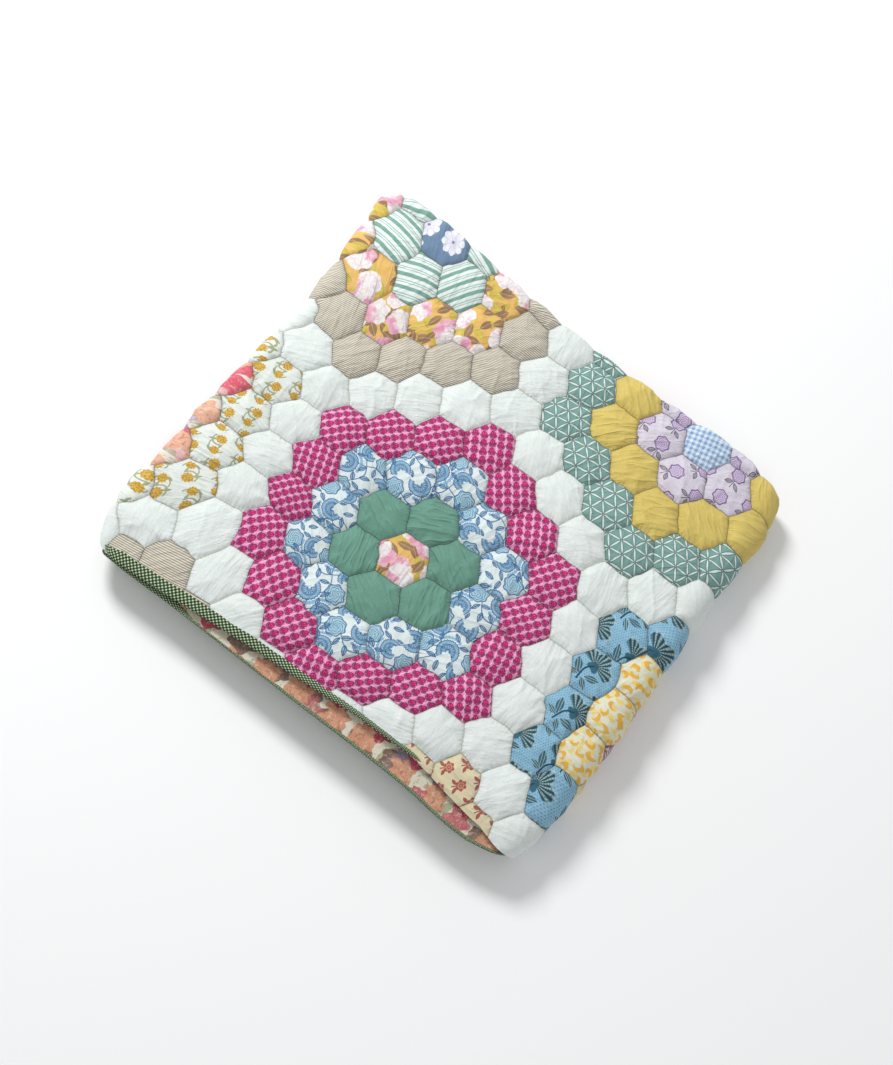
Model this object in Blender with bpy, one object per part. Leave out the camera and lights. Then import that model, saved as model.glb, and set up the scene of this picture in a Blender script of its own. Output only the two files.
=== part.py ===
"""A patchwork quilt of sewn hexagons with a bias binding, folded and lying flat.

The cloth is about 1.48 x 0.94 m and 6 mm thick. It is folded in half with its backing inside, so that two bound
edges lie at the front, and then both ends are turned under in a letter fold. That makes six layers.

Metres, +Z up. +X runs along the bound front edge and +Y towards the back fold. The origin lies on the floor under
the middle of the stack.
"""

import math

import bpy
import numpy as np

# The patchwork: regular hexagons with two sides along X, raised by the wadding between their seams.
HEX_SIDE = 0.028
HALF_FLAT = HEX_SIDE * math.sqrt(3) / 2
FLOWER_X, FLOWER_Y = -0.008, -0.068
PUFF = 0.0038

# The cloth and how its layers lie.
PLY = 0.006
EDGE_PLY = 0.0038
LAYER_PITCH = 0.008
LEFT_TURN_X = -0.240
RIGHT_TURN_X = 0.232
BACK_TURN_Y = 0.231
FLAP_END_X = 0.224
BOTTOM_END_X = -0.236
OUTER_FRONT_Y = -0.2245
INNER_FRONT_Y = -0.2430

# The binding, a folded tape over the whole edge of the cloth.
BINDING_WIDTH = 0.0115
BINDING_THICKNESS = 0.0005
BINDING_GAP = 0.0004
BINDING_NOSE = 0.0016

# The cloth stays thin this far in from its edge, and is full at twice as far.
THIN_EDGE = 1.5 * BINDING_WIDTH

# How finely each stretch of the cloth is divided.
HIDDEN_STEPS = 5
LEFT_TURN_STEPS = 4
RIGHT_TURN_STEPS = 6
BACK_TURN_STEPS = 4

# Where quilting and handling have drawn the folded stack out of square.
# Columns: X, Y, radius, shift along X, shift along Y.
PULLS = (
    (-0.155, -0.136, 0.045, 0.009, 0.013),
    (-0.190, 0.139, 0.093, 0.019, -0.009),
    (-0.201, 0.224, 0.069, -0.009, 0.018),
    (-0.104, 0.104, 0.074, -0.014, 0.001),
    (0.094, 0.134, 0.069, -0.004, 0.005),
    (0.212, -0.260, 0.048, -0.016, -0.010),
    (-0.099, -0.268, 0.120, -0.010, 0.001),
    (0.060, 0.252, 0.060, 0.000, -0.005),
    (0.190, 0.250, 0.030, 0.000, 0.004),
    (0.255, 0.265, 0.034, -0.008, -0.008),
    (0.262, 0.180, 0.026, 0.005, 0.000),
    (0.260, -0.090, 0.045, 0.002, 0.000),
    (-0.265, -0.190, 0.040, -0.005, 0.000),
    (-0.262, -0.264, 0.032, 0.015, 0.004),
)

# The front edges don't run quite straight. Columns: X, shift of the outer ply's edge, shift of the inner ply's.
FRONT_EDGES = (
    (-0.256, -0.005, 0.002),
    (-0.236, -0.011, 0.002),
    (-0.160, -0.008, 0.002),
    (-0.060, 0.001, 0.001),
    (0.000, 0.005, 0.000),
    (0.050, 0.009, 0.000),
    (0.105, 0.010, 0.000),
    (0.160, 0.006, 0.001),
    (0.210, 0.004, 0.004),
    (0.248, -0.006, 0.010),
)
EDGE_REACH = 0.080

# How far the lowest layer's front edge lies back from the top one's, the depth over which it draws back, and how
# far its left corner lies in.
FRONT_RECESS = 0.028
RECESS_FROM_Y = -0.150
RECESS_DEPTH = 0.100
CORNER_RECESS = 0.016
CORNER_FROM_X = -0.160

# The middle of the finished stack's outline, which is moved to the origin.
MIDDLE_X, MIDDLE_Y = -0.00075, 0.00168

# Where the stack sinks or swells, as a share of its height.
# Columns: X, Y, radius, share.
SAGS = (
    (-0.255, -0.235, 0.070, 0.20),
    (-0.250, 0.240, 0.055, 0.14),
    (0.255, 0.215, 0.070, 0.18),
    (0.245, -0.240, 0.060, 0.12),
    (-0.080, -0.245, 0.080, 0.07),
    (0.040, 0.020, 0.120, -0.05),
    (-0.110, 0.130, 0.090, 0.04),
)

TURN_LEFT_R = LAYER_PITCH
TURN_RIGHT_R = 2 * LAYER_PITCH
BOTTOM_Z = (PLY + LAYER_PITCH) / 2
FLAP_Z = BOTTOM_Z + 2 * LAYER_PITCH
TOP_Z = BOTTOM_Z + 4 * LAYER_PITCH

# The lengths of the cloth's stretches along U, the way round the letter fold, and the places where they end.
FLAP = FLAP_END_X - LEFT_TURN_X
LEFT_TURN = math.pi * TURN_LEFT_R
TOP = RIGHT_TURN_X - LEFT_TURN_X
RIGHT_TURN = math.pi * TURN_RIGHT_R
BOTTOM = RIGHT_TURN_X - BOTTOM_END_X
U_STOPS = np.cumsum([0, FLAP, LEFT_TURN, TOP, RIGHT_TURN, BOTTOM])

# The same along V, from the outer front edge over the back fold to the inner front edge.
OUTER = BACK_TURN_Y - OUTER_FRONT_Y
BACK_TURN = math.pi * LAYER_PITCH / 2
INNER = BACK_TURN_Y - INNER_FRONT_Y
V_STOPS = np.cumsum([0, OUTER, BACK_TURN, INNER])


def along(u):
    """The slab's middle line at u, as X, Z, and its outward direction there, as X, Z."""
    if u < U_STOPS[1]:
        return (FLAP_END_X - u, FLAP_Z), (0.0, -1.0)
    if u < U_STOPS[2]:
        angle = -math.pi / 2 - (u - U_STOPS[1]) / TURN_LEFT_R
        centre, radius = (LEFT_TURN_X, FLAP_Z + TURN_LEFT_R), TURN_LEFT_R
    elif u <= U_STOPS[3]:
        return (LEFT_TURN_X + u - U_STOPS[2], TOP_Z), (0.0, 1.0)
    elif u < U_STOPS[4]:
        angle = math.pi / 2 - (u - U_STOPS[3]) / TURN_RIGHT_R
        centre, radius = (RIGHT_TURN_X, BOTTOM_Z + TURN_RIGHT_R), TURN_RIGHT_R
    else:
        return (RIGHT_TURN_X - (u - U_STOPS[4]), BOTTOM_Z), (0.0, -1.0)
    out = (math.cos(angle), math.sin(angle))
    return (centre[0] + radius * out[0], centre[1] + radius * out[1]), out


def across(v):
    """The ply at v: its height over the slab's middle and its Y, and the way its patchwork side faces in those."""
    half = LAYER_PITCH / 2
    if v <= V_STOPS[1]:
        return (half, OUTER_FRONT_Y + v), (1.0, 0.0)
    if v < V_STOPS[2]:
        angle = math.pi / 2 - (v - V_STOPS[1]) / half
        face = (math.sin(angle), math.cos(angle))
        return (half * face[0], BACK_TURN_Y + half * face[1]), face
    return (-half, BACK_TURN_Y - (v - V_STOPS[2])), (-1.0, 0.0)


def hex_inset(x, y):
    """How far a point lies inside its hexagon's seams, from 0 at a seam to 1 at the middle."""
    best = 0.0
    column = round((x - FLOWER_X) / (1.5 * HEX_SIDE))
    for p in (column - 1, column, column + 1):
        row = round(((y - FLOWER_Y) / HALF_FLAT - p) / 2)
        dx = abs(x - FLOWER_X - 1.5 * HEX_SIDE * p)
        dy = abs(y - FLOWER_Y - HALF_FLAT * (p + 2 * row))
        reach = max(dy, dx * math.cos(math.pi / 6) + dy / 2)
        best = max(best, 1 - reach / HALF_FLAT)
    return best


def puff(u, v):
    """How far the wadding lifts the patchwork at (u, v). Only the top layer, which nothing presses, is raised."""
    turned = max(U_STOPS[2] - u, u - U_STOPS[3], 0.0) / TURN_LEFT_R
    folded = max(v - V_STOPS[1], 0.0) / BACK_TURN
    bound = min(max(v - THIN_EDGE, 0.0) / BINDING_WIDTH, 1.0)
    free = max(0.0, 1 - turned) * max(0.0, 1 - folded) * bound
    inset = hex_inset(LEFT_TURN_X + u - U_STOPS[2], OUTER_FRONT_Y + v)
    return PUFF * free * (1 - (1 - inset) ** 2)


def settled(point):
    """The point once the stack is pulled out of square and has sunk in places. The underside stays at Z = 0."""
    x, y, z = point
    front = min(max((RECESS_FROM_Y - y) / RECESS_DEPTH, 0.0), 1.0)
    left = min(max((CORNER_FROM_X - x) / RECESS_DEPTH, 0.0), 1.0)
    low = 1 - z / TOP_Z
    moved_x, moved_y, height = x + CORNER_RECESS * front * left * low, y + FRONT_RECESS * front * low, 1.0
    for at_x, at_y, radius, shift_x, shift_y in PULLS:
        share = math.exp(-((x - at_x) ** 2 + (y - at_y) ** 2) / (2 * radius**2))
        moved_x += shift_x * share
        moved_y += shift_y * share
    for at_x, at_y, radius, sunk in SAGS:
        height -= sunk * math.exp(-((x - at_x) ** 2 + (y - at_y) ** 2) / (2 * radius**2))
    return moved_x - MIDDLE_X, moved_y - MIDDLE_Y, z * height


def edge_shift(x, v):
    """How far a point of the cloth near its front edges lies from where straight edges would put it."""
    xs, outer, inner = zip(*FRONT_EDGES)
    if v < EDGE_REACH:
        return (1 - v / EDGE_REACH) * float(np.interp(x, xs, outer))
    if v > V_STOPS[3] - EDGE_REACH:
        return (1 - (V_STOPS[3] - v) / EDGE_REACH) * float(np.interp(x, xs, inner))
    return 0.0


def place(u, v, lift):
    """The point that lies lift above the ply's middle at (u, v), towards its patchwork side."""
    (x, z), (out_x, out_z) = along(u)
    (rise, y), (face_out, face_y) = across(v)
    out = rise + lift * face_out
    return settled((x + out * out_x, y + lift * face_y + edge_shift(x, v), z + out * out_z))


def spread(start, end, steps):
    """The places that divide a stretch into equal steps, without its end."""
    return list(np.linspace(start, end, steps, endpoint=False))


def lattice(first, last, origin, step):
    """The lines of the hexagons between two places."""
    low, high = math.ceil((first - origin) / step), math.floor((last - origin) / step)
    return [origin + n * step for n in range(low, high + 1)]


def u_lines():
    """The lines across the cloth, with those on the top following the hexagons."""
    stops = list(U_STOPS)
    shift = stops[2] - LEFT_TURN_X
    margin = HEX_SIDE / 4
    top = lattice(LEFT_TURN_X + margin, RIGHT_TURN_X - margin, FLOWER_X, HEX_SIDE / 2)
    return np.array(
        [0.0, BINDING_WIDTH, THIN_EDGE]
        + spread(2 * THIN_EDGE, stops[1], HIDDEN_STEPS)
        + spread(stops[1], stops[2], LEFT_TURN_STEPS)
        + [stops[2]]
        + [x + shift for x in top]
        + spread(stops[3], stops[4], RIGHT_TURN_STEPS)
        + spread(stops[4], stops[5] - 2 * THIN_EDGE, HIDDEN_STEPS)
        + [stops[5] - 2 * THIN_EDGE, stops[5] - THIN_EDGE, stops[5] - BINDING_WIDTH, stops[5]]
    )


def v_lines():
    """The lines along the cloth, with those of the outer ply following the hexagons."""
    stops = list(V_STOPS)
    first = OUTER_FRONT_Y + 2 * THIN_EDGE
    rows = lattice(first, BACK_TURN_Y - HALF_FLAT / 4, FLOWER_Y, HALF_FLAT)
    return np.array(
        [0.0, BINDING_WIDTH, THIN_EDGE]
        + [y - OUTER_FRONT_Y for y in rows]
        + spread(stops[1], stops[2], BACK_TURN_STEPS)
        + spread(stops[2], stops[3] - 2 * THIN_EDGE, HIDDEN_STEPS)
        + [stops[3] - 2 * THIN_EDGE, stops[3] - THIN_EDGE, stops[3] - BINDING_WIDTH, stops[3]]
    )


def half_thickness(u, v):
    """Half of the cloth's thickness, which the binding presses thin along the edge."""
    inside = min(u, v, U_STOPS[5] - u, V_STOPS[3] - v)
    share = min(max(inside / THIN_EDGE - 1, 0.0), 1.0)
    return (EDGE_PLY + (PLY - EDGE_PLY) * share) / 2


def add_object(name, points, faces, material):
    mesh = bpy.data.meshes.new(name)
    mesh.from_pydata([tuple(p) for p in points], [], faces)
    mesh.validate()
    mesh.shade_smooth()
    mesh.set_sharp_from_angle(angle=math.radians(50))
    mesh.materials.append(material)
    made = bpy.data.objects.new(name, mesh)
    bpy.context.scene.collection.objects.link(made)
    return made


def cloth_material(name, colour, roughness):
    """A matt woven finish in one colour."""
    material = bpy.data.materials.new(name)
    material.use_nodes = True
    shader = material.node_tree.nodes["Principled BSDF"]
    shader.inputs["Base Color"].default_value = (*colour, 1.0)
    shader.inputs["Roughness"].default_value = roughness
    shader.inputs["Metallic"].default_value = 0.0
    material.diffuse_color = (*colour, 1.0)
    return material


def falls(u, v):
    """Whether the diagonal that follows the seams falls towards the front in the lattice cell around (u, v)."""
    x = (LEFT_TURN_X + u - U_STOPS[2] - FLOWER_X) / (HEX_SIDE / 2)
    y = (OUTER_FRONT_Y + v - FLOWER_Y) / HALF_FLAT
    return (math.floor(y) - math.floor(x / 3)) % 2 == 0


def make_quilt():
    """The whole cloth as one closed body: its patchwork side, its backing side and the thin rim between them."""
    us, vs = u_lines(), v_lines()
    rows = len(vs)
    points, faces = [], []
    for u in us:
        for v in vs:
            points.append(place(u, v, half_thickness(u, v) + puff(u, v)))
    for u in us:
        for v in vs:
            points.append(place(u, v, -half_thickness(u, v)))
    under = len(us) * rows
    for i in range(len(us) - 1):
        for j in range(rows - 1):
            a, b = i * rows + j, (i + 1) * rows + j
            middle = (us[i] + us[i + 1]) / 2, (vs[j] + vs[j + 1]) / 2
            if falls(*middle):
                faces += [(a, b, a + 1), (b, b + 1, a + 1)]
            else:
                faces += [(a, b, b + 1), (a, b + 1, a + 1)]
            faces.append((under + a, under + a + 1, under + b + 1, under + b))
    rim = [i * rows for i in range(len(us))]
    rim += [(len(us) - 1) * rows + j for j in range(1, rows)]
    rim += [i * rows + rows - 1 for i in range(len(us) - 2, -1, -1)]
    rim += list(range(rows - 2, 0, -1))
    for a, b in zip(rim, rim[1:] + rim[:1]):
        faces.append((a, under + a, under + b, b))
    return add_object("quilt", points, faces, cloth_material("Patchwork", (0.68, 0.72, 0.68), 0.9))


def binding_section():
    """The tape's cross-section: how far out of the cloth's edge, and how far above its middle."""
    inner = EDGE_PLY / 2 + BINDING_GAP
    outer = inner + BINDING_THICKNESS
    face = [
        (BINDING_GAP, inner),
        (-BINDING_WIDTH, inner),
        (-BINDING_WIDTH, outer),
        (0.0, outer),
        (BINDING_NOSE, 0.6 * outer),
    ]
    return face + [(out, -lift) for out, lift in reversed(face)]


def binding_stations():
    """The places round the cloth's edge, each with its outward direction in U and V."""
    last_u, last_v = U_STOPS[5], V_STOPS[3]
    us = [u for u in u_lines() if BINDING_WIDTH < u < last_u - BINDING_WIDTH]
    vs = [v for v in v_lines() if BINDING_WIDTH < v < last_v - BINDING_WIDTH]
    stations = [(0.0, 0.0, -1, -1)]
    stations += [(u, 0.0, 0, -1) for u in us]
    stations += [(last_u, 0.0, 1, -1)]
    stations += [(last_u, v, 1, 0) for v in vs]
    stations += [(last_u, last_v, 1, 1)]
    stations += [(u, last_v, 0, 1) for u in us[::-1]]
    stations += [(0.0, last_v, -1, 1)]
    stations += [(0.0, v, -1, 0) for v in vs[::-1]]
    return stations


def make_binding():
    """The tape as one closed ring, mitred at the cloth's four corners."""
    section, stations = binding_section(), binding_stations()
    points, faces = [], []
    for u, v, out_u, out_v in stations:
        for out, lift in section:
            points.append(place(u + out * out_u, v + out * out_v, lift))
    size, count = len(section), len(stations)
    for i in range(count):
        here, there = i * size, (i + 1) % count * size
        for k in range(size):
            m = (k + 1) % size
            faces.append((here + k, here + m, there + m, there + k))
    return add_object("binding", points, faces, cloth_material("Binding", (0.10, 0.20, 0.09), 0.9))


def main():
    for old in list(bpy.data.objects):
        bpy.data.objects.remove(old, do_unlink=True)
    make_quilt()
    make_binding()


main()
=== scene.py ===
"""The patchwork quilt, dressed: its pieced face, printed backing and bias binding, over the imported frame."""

import math
import random

import bpy
import numpy as np
from mathutils import Matrix


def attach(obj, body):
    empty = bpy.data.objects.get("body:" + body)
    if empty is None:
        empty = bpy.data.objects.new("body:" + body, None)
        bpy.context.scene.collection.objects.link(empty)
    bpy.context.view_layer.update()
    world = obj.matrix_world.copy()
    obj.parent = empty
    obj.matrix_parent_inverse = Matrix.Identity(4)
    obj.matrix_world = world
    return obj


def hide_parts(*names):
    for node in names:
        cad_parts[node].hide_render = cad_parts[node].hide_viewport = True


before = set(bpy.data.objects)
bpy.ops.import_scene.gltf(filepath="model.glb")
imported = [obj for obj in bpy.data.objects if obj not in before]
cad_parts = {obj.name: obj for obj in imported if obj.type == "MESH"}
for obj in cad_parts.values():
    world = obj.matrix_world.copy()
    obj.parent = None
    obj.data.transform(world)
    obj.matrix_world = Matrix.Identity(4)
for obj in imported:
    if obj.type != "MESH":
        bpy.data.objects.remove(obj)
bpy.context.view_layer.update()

# The patchwork: regular hexagons with two sides along X. The first flower's middle is at FLOWER_X, FLOWER_Y.
HEX_SIDE = 0.028
HALF_FLAT = HEX_SIDE * math.sqrt(3) / 2
FLOWER_X, FLOWER_Y = -0.008, -0.068
PUFF = 0.0042

# The cloth and how its layers lie, as in the part.
PLY = 0.006
EDGE_PLY = 0.0038
LAYER_PITCH = 0.008
LEFT_TURN_X = -0.240
RIGHT_TURN_X = 0.232
BACK_TURN_Y = 0.231
FLAP_END_X = 0.224
BOTTOM_END_X = -0.236
OUTER_FRONT_Y = -0.2245
INNER_FRONT_Y = -0.2430
BINDING_WIDTH = 0.0115
THIN_EDGE = 1.5 * BINDING_WIDTH

# Where the folded stack is out of square. Columns: X, Y, radius, shift along X, shift along Y.
PULLS = (
    (-0.155, -0.136, 0.045, 0.009, 0.013),
    (-0.190, 0.139, 0.093, 0.019, -0.009),
    (-0.201, 0.224, 0.069, -0.009, 0.018),
    (-0.104, 0.104, 0.074, -0.014, 0.001),
    (0.094, 0.134, 0.069, -0.004, 0.005),
    (0.212, -0.260, 0.048, -0.016, -0.010),
    (-0.099, -0.268, 0.120, -0.010, 0.001),
    (0.060, 0.252, 0.060, 0.000, -0.005),
    (0.190, 0.250, 0.030, 0.000, 0.004),
    (0.255, 0.265, 0.034, -0.008, -0.008),
    (0.262, 0.180, 0.026, 0.005, 0.000),
    (0.260, -0.090, 0.045, 0.002, 0.000),
    (-0.265, -0.190, 0.040, -0.005, 0.000),
    (-0.262, -0.264, 0.032, 0.015, 0.004),
)

# The front edges don't run quite straight.
# Columns: X, shift of the outer ply's edge, shift of the inner ply's.
FRONT_EDGES = (
    (-0.256, -0.005, 0.002),
    (-0.236, -0.011, 0.002),
    (-0.160, -0.008, 0.002),
    (-0.060, 0.001, 0.001),
    (0.000, 0.005, 0.000),
    (0.050, 0.009, 0.000),
    (0.105, 0.010, 0.000),
    (0.160, 0.006, 0.001),
    (0.210, 0.004, 0.004),
    (0.248, -0.006, 0.010),
)
EDGE_REACH = 0.080

# The lower layers lie back from the front, and from the left at the front corner.
FRONT_RECESS = 0.028
RECESS_FROM_Y = -0.150
RECESS_DEPTH = 0.100
CORNER_RECESS = 0.016
CORNER_FROM_X = -0.160

# The middle of the settled stack, which the frame's origin lies under.
MIDDLE_X, MIDDLE_Y = -0.00075, 0.00168

# Where the stack sinks or swells, as a share of its height. Columns: X, Y, radius, share.
SAGS = (
    (-0.255, -0.235, 0.070, 0.20),
    (-0.250, 0.240, 0.055, 0.14),
    (0.255, 0.215, 0.070, 0.18),
    (0.245, -0.240, 0.060, 0.12),
    (-0.080, -0.245, 0.080, 0.07),
    (0.040, 0.020, 0.120, -0.05),
    (-0.110, 0.130, 0.090, 0.04),
)

# The mesh: lines to each half side of a hexagon where the patchwork shows, fine lines to a coarse cell, and
# how far the fine cells reach past the folds.
FINE = 10
COARSE = 5
FINE_MARGIN = 0.002
STEP_X = HEX_SIDE / 2 / FINE
STEP_Y = HALF_FLAT / FINE

# Each flower's fabrics, from its middle to its third ring, by its place in the lattice of flowers.
FLOWERS = {
    (0, 0): ("peony", "sage", "vine", "rosebud"),
    (1, 0): ("gingham", "lilac", "mustard", "star"),
    (0, 1): ("daisy", "stripe", "peony", "ticking"),
    (1, -1): ("sage", "mauve", "crescent", "sky"),
    (-1, 0): ("star", "lilac", "rosebud", "ticking"),
    (-1, 1): ("gingham", "mustard", "bloom", "sprig"),
    (0, -1): ("daisy", "sage", "peony", "rust"),
}

# The camera, fitted to the middles of the hexagons in the photograph.
CAMERA_AT = (0.10581, -0.85343, 2.20057)
CAMERA_RIGHT = (0.7997, 0.5715, 0.1841)
CAMERA_UP = (-0.5989, 0.7374, 0.3124)
CAMERA_LENS = 81.25

# The folds' radii, the heights of the layers, and the places in the cloth where its stretches meet.
TURN_LEFT_R = LAYER_PITCH
TURN_RIGHT_R = 2 * LAYER_PITCH
BOTTOM_Z = (PLY + LAYER_PITCH) / 2
FLAP_Z = BOTTOM_Z + 2 * LAYER_PITCH
TOP_Z = BOTTOM_Z + 4 * LAYER_PITCH
FLAP = FLAP_END_X - LEFT_TURN_X
TOP = RIGHT_TURN_X - LEFT_TURN_X
BOTTOM = RIGHT_TURN_X - BOTTOM_END_X
U_STOPS = np.cumsum([0, FLAP, math.pi * TURN_LEFT_R, TOP, math.pi * TURN_RIGHT_R, BOTTOM])
OUTER = BACK_TURN_Y - OUTER_FRONT_Y
INNER = BACK_TURN_Y - INNER_FRONT_Y
V_STOPS = np.cumsum([0, OUTER, math.pi * LAYER_PITCH / 2, INNER])

# From a place in the cloth to its place in the lattice of hexagons.
LATTICE_X = LEFT_TURN_X - U_STOPS[2] - FLOWER_X
LATTICE_Y = OUTER_FRONT_Y - FLOWER_Y


def along(u):
    """The slab's middle line at u, as X, Z, and its outward direction there, as X, Z."""
    left = -math.pi / 2 - (u - U_STOPS[1]) / TURN_LEFT_R
    right = math.pi / 2 - (u - U_STOPS[3]) / TURN_RIGHT_R
    runs = [u < U_STOPS[1], u < U_STOPS[2], u <= U_STOPS[3], u < U_STOPS[4]]
    zero = np.zeros_like(u)
    out_x = np.select(runs, [zero, np.cos(left), zero, np.cos(right)], zero)
    out_z = np.select(runs, [zero - 1, np.sin(left), zero + 1, np.sin(right)], zero - 1)
    x = np.select(
        runs,
        [
            FLAP_END_X - u,
            LEFT_TURN_X + TURN_LEFT_R * out_x,
            LEFT_TURN_X + u - U_STOPS[2],
            RIGHT_TURN_X + TURN_RIGHT_R * out_x,
        ],
        RIGHT_TURN_X - (u - U_STOPS[4]),
    )
    z = np.select(
        runs,
        [
            zero + FLAP_Z,
            FLAP_Z + TURN_LEFT_R * (1 + out_z),
            zero + TOP_Z,
            BOTTOM_Z + TURN_RIGHT_R * (1 + out_z),
        ],
        zero + BOTTOM_Z,
    )
    return x, z, out_x, out_z


def across(v):
    """The ply at v: its height over the slab's middle, its Y, and how its patchwork side faces in both."""
    half = LAYER_PITCH / 2
    angle = math.pi / 2 - (v - V_STOPS[1]) / half
    runs = [v <= V_STOPS[1], v < V_STOPS[2]]
    zero = np.zeros_like(v)
    face_out = np.select(runs, [zero + 1, np.sin(angle)], zero - 1)
    face_y = np.select(runs, [zero, np.cos(angle)], zero)
    flat_y = np.where(v <= V_STOPS[1], OUTER_FRONT_Y + v, BACK_TURN_Y - (v - V_STOPS[2]))
    y = np.where(runs[1] & ~runs[0], BACK_TURN_Y + half * face_y, flat_y)
    return half * face_out, y, face_out, face_y


def settled(x, y, z):
    """The point once the stack is pulled out of square and has sunk in places, as in the part."""
    front = np.clip((RECESS_FROM_Y - y) / RECESS_DEPTH, 0, 1)
    left = np.clip((CORNER_FROM_X - x) / RECESS_DEPTH, 0, 1)
    low = 1 - z / TOP_Z
    moved_x, moved_y = x + CORNER_RECESS * front * left * low, y + FRONT_RECESS * front * low
    height = np.ones_like(z)
    for at_x, at_y, radius, shift_x, shift_y in PULLS:
        share = np.exp(-((x - at_x) ** 2 + (y - at_y) ** 2) / (2 * radius**2))
        moved_x += shift_x * share
        moved_y += shift_y * share
    for at_x, at_y, radius, sunk in SAGS:
        height -= sunk * np.exp(-((x - at_x) ** 2 + (y - at_y) ** 2) / (2 * radius**2))
    return np.stack([moved_x - MIDDLE_X, moved_y - MIDDLE_Y, np.maximum(z * height, 0)], -1)


def edge_shift(x, v):
    """How far the cloth near its front edges lies from where straight edges would put it."""
    xs, outer, inner = zip(*FRONT_EDGES)
    made = np.clip(1 - v / EDGE_REACH, 0, 1.2) * np.interp(x, xs, outer)
    return made + np.clip(1 - (V_STOPS[3] - v) / EDGE_REACH, 0, 1.2) * np.interp(x, xs, inner)


def place(u, v, lift):
    """The points that lie lift above the ply's middle at (u, v), towards its patchwork side."""
    u, v, lift = np.broadcast_arrays(*(np.asarray(a, float) for a in (u, v, lift)))
    x, z, out_x, out_z = along(u)
    rise, y, face_out, face_y = across(v)
    out = rise + lift * face_out
    return settled(x + out * out_x, y + lift * face_y + edge_shift(x, v), z + out * out_z)


def from_edge(u, v):
    """How far inside of the cloth's edge a place is."""
    return np.minimum(np.minimum(u, v), np.minimum(U_STOPS[5] - u, V_STOPS[3] - v))


def half_thickness(u, v):
    """Half of the cloth's thickness, which the binding presses thin along the edge."""
    share = np.clip(from_edge(u, v) / THIN_EDGE - 0.75, 0, 1)
    share = share * share * (3 - 2 * share)
    return (EDGE_PLY + (PLY - EDGE_PLY) * share) / 2


def noise(x, y, seed):
    """Smooth noise from -1 to 1, about one swell a unit."""
    low_x, low_y = np.floor(x), np.floor(y)
    part_x, part_y = x - low_x, y - low_y
    part_x = part_x**2 * (3 - 2 * part_x)
    part_y = part_y**2 * (3 - 2 * part_y)

    def corner(step_x, step_y):
        value = np.sin((low_x + step_x) * 127.1 + (low_y + step_y) * 311.7 + seed * 74.7) * 43758.5453
        return 2 * (value - np.floor(value)) - 1

    near = corner(0, 0) * (1 - part_x) + corner(1, 0) * part_x
    far = corner(0, 1) * (1 - part_x) + corner(1, 1) * part_x
    return near * (1 - part_y) + far * part_y


def hexagon(x, y):
    """The hexagon that holds each point, as its column p and row q, and the point's place from its middle."""
    best = np.full(np.shape(x), np.inf)
    p, q, dx, dy = (np.zeros(np.shape(x)) for _ in range(4))
    for step in (-1, 0, 1):
        column = np.round(x / (1.5 * HEX_SIDE)) + step
        row = np.round((y / HALF_FLAT - column) / 2)
        off_x = x - 1.5 * HEX_SIDE * column
        off_y = y - HALF_FLAT * (column + 2 * row)
        reach = np.maximum(abs(off_y), abs(off_x) * math.cos(math.pi / 6) + abs(off_y) / 2)
        closer = reach < best - 1e-9
        best = np.where(closer, reach, best)
        p, q = np.where(closer, column, p), np.where(closer, row, q)
        dx, dy = np.where(closer, off_x, dx), np.where(closer, off_y, dy)
    return p.astype(int), q.astype(int), dx, dy


def seam_place(dx, dy, sector):
    """How far along the hexagon's nearest side a point lies, and how far inside of it."""
    angle = np.radians(30 + 60 * sector)
    outward = dx * np.cos(angle) + dy * np.sin(angle)
    return -dx * np.sin(angle) + dy * np.cos(angle), HALF_FLAT - outward


def sector_of(dx, dy):
    """Which of the hexagon's six sides a place is nearest to."""
    return np.floor(np.degrees(np.arctan2(dy, dx)) / 60).astype(int) % 6


# The creases in the cloth. Columns: width, length, height, number of the random pattern.
RIDGES = (
    (0.021, 0.060, 0.0024, 11),
    (0.014, 0.040, 0.0019, 14),
    (0.009, 0.026, 0.0012, 17),
)
RIDGE_SHARPNESS = 0.16
MAX_RIDGE = 0.0022
MEAN_RIDGE = 0.0006
CREASE_HEIGHT = 0.0008
CREASE_LEAN = 35
CREASE_LEAN_SPREAD = 40

# The slow swells under the hexagons.
# Columns: height, size along X, size along Y, number of the random pattern.
SWELLS = (
    (0.0011, 0.062, 0.055, 21),
    (0.0007, 0.029, 0.034, 22),
)

# How the hexagons are puffed, the groove at each seam, the puckers that run into it, and how flat all that is
# pressed inside the folds.
PUFF_SPREAD = 0.22
GROOVE_DEPTH = 0.0007
GROOVE_WIDTH = 0.0012
PUCKER_HEIGHT = 0.0006
PUCKER_PITCH = 0.0050
PUCKER_REACH = 0.0080
PUCKER_START = 0.0015
PRESSED_DEPTH = 0.0010
PRESSED_WIDTH = 0.003
TURN_REACH = 0.09
UNDER_REACH = 0.02
BACK_WIDTH = 0.007
BACK_FREEDOM = 0.45


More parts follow.
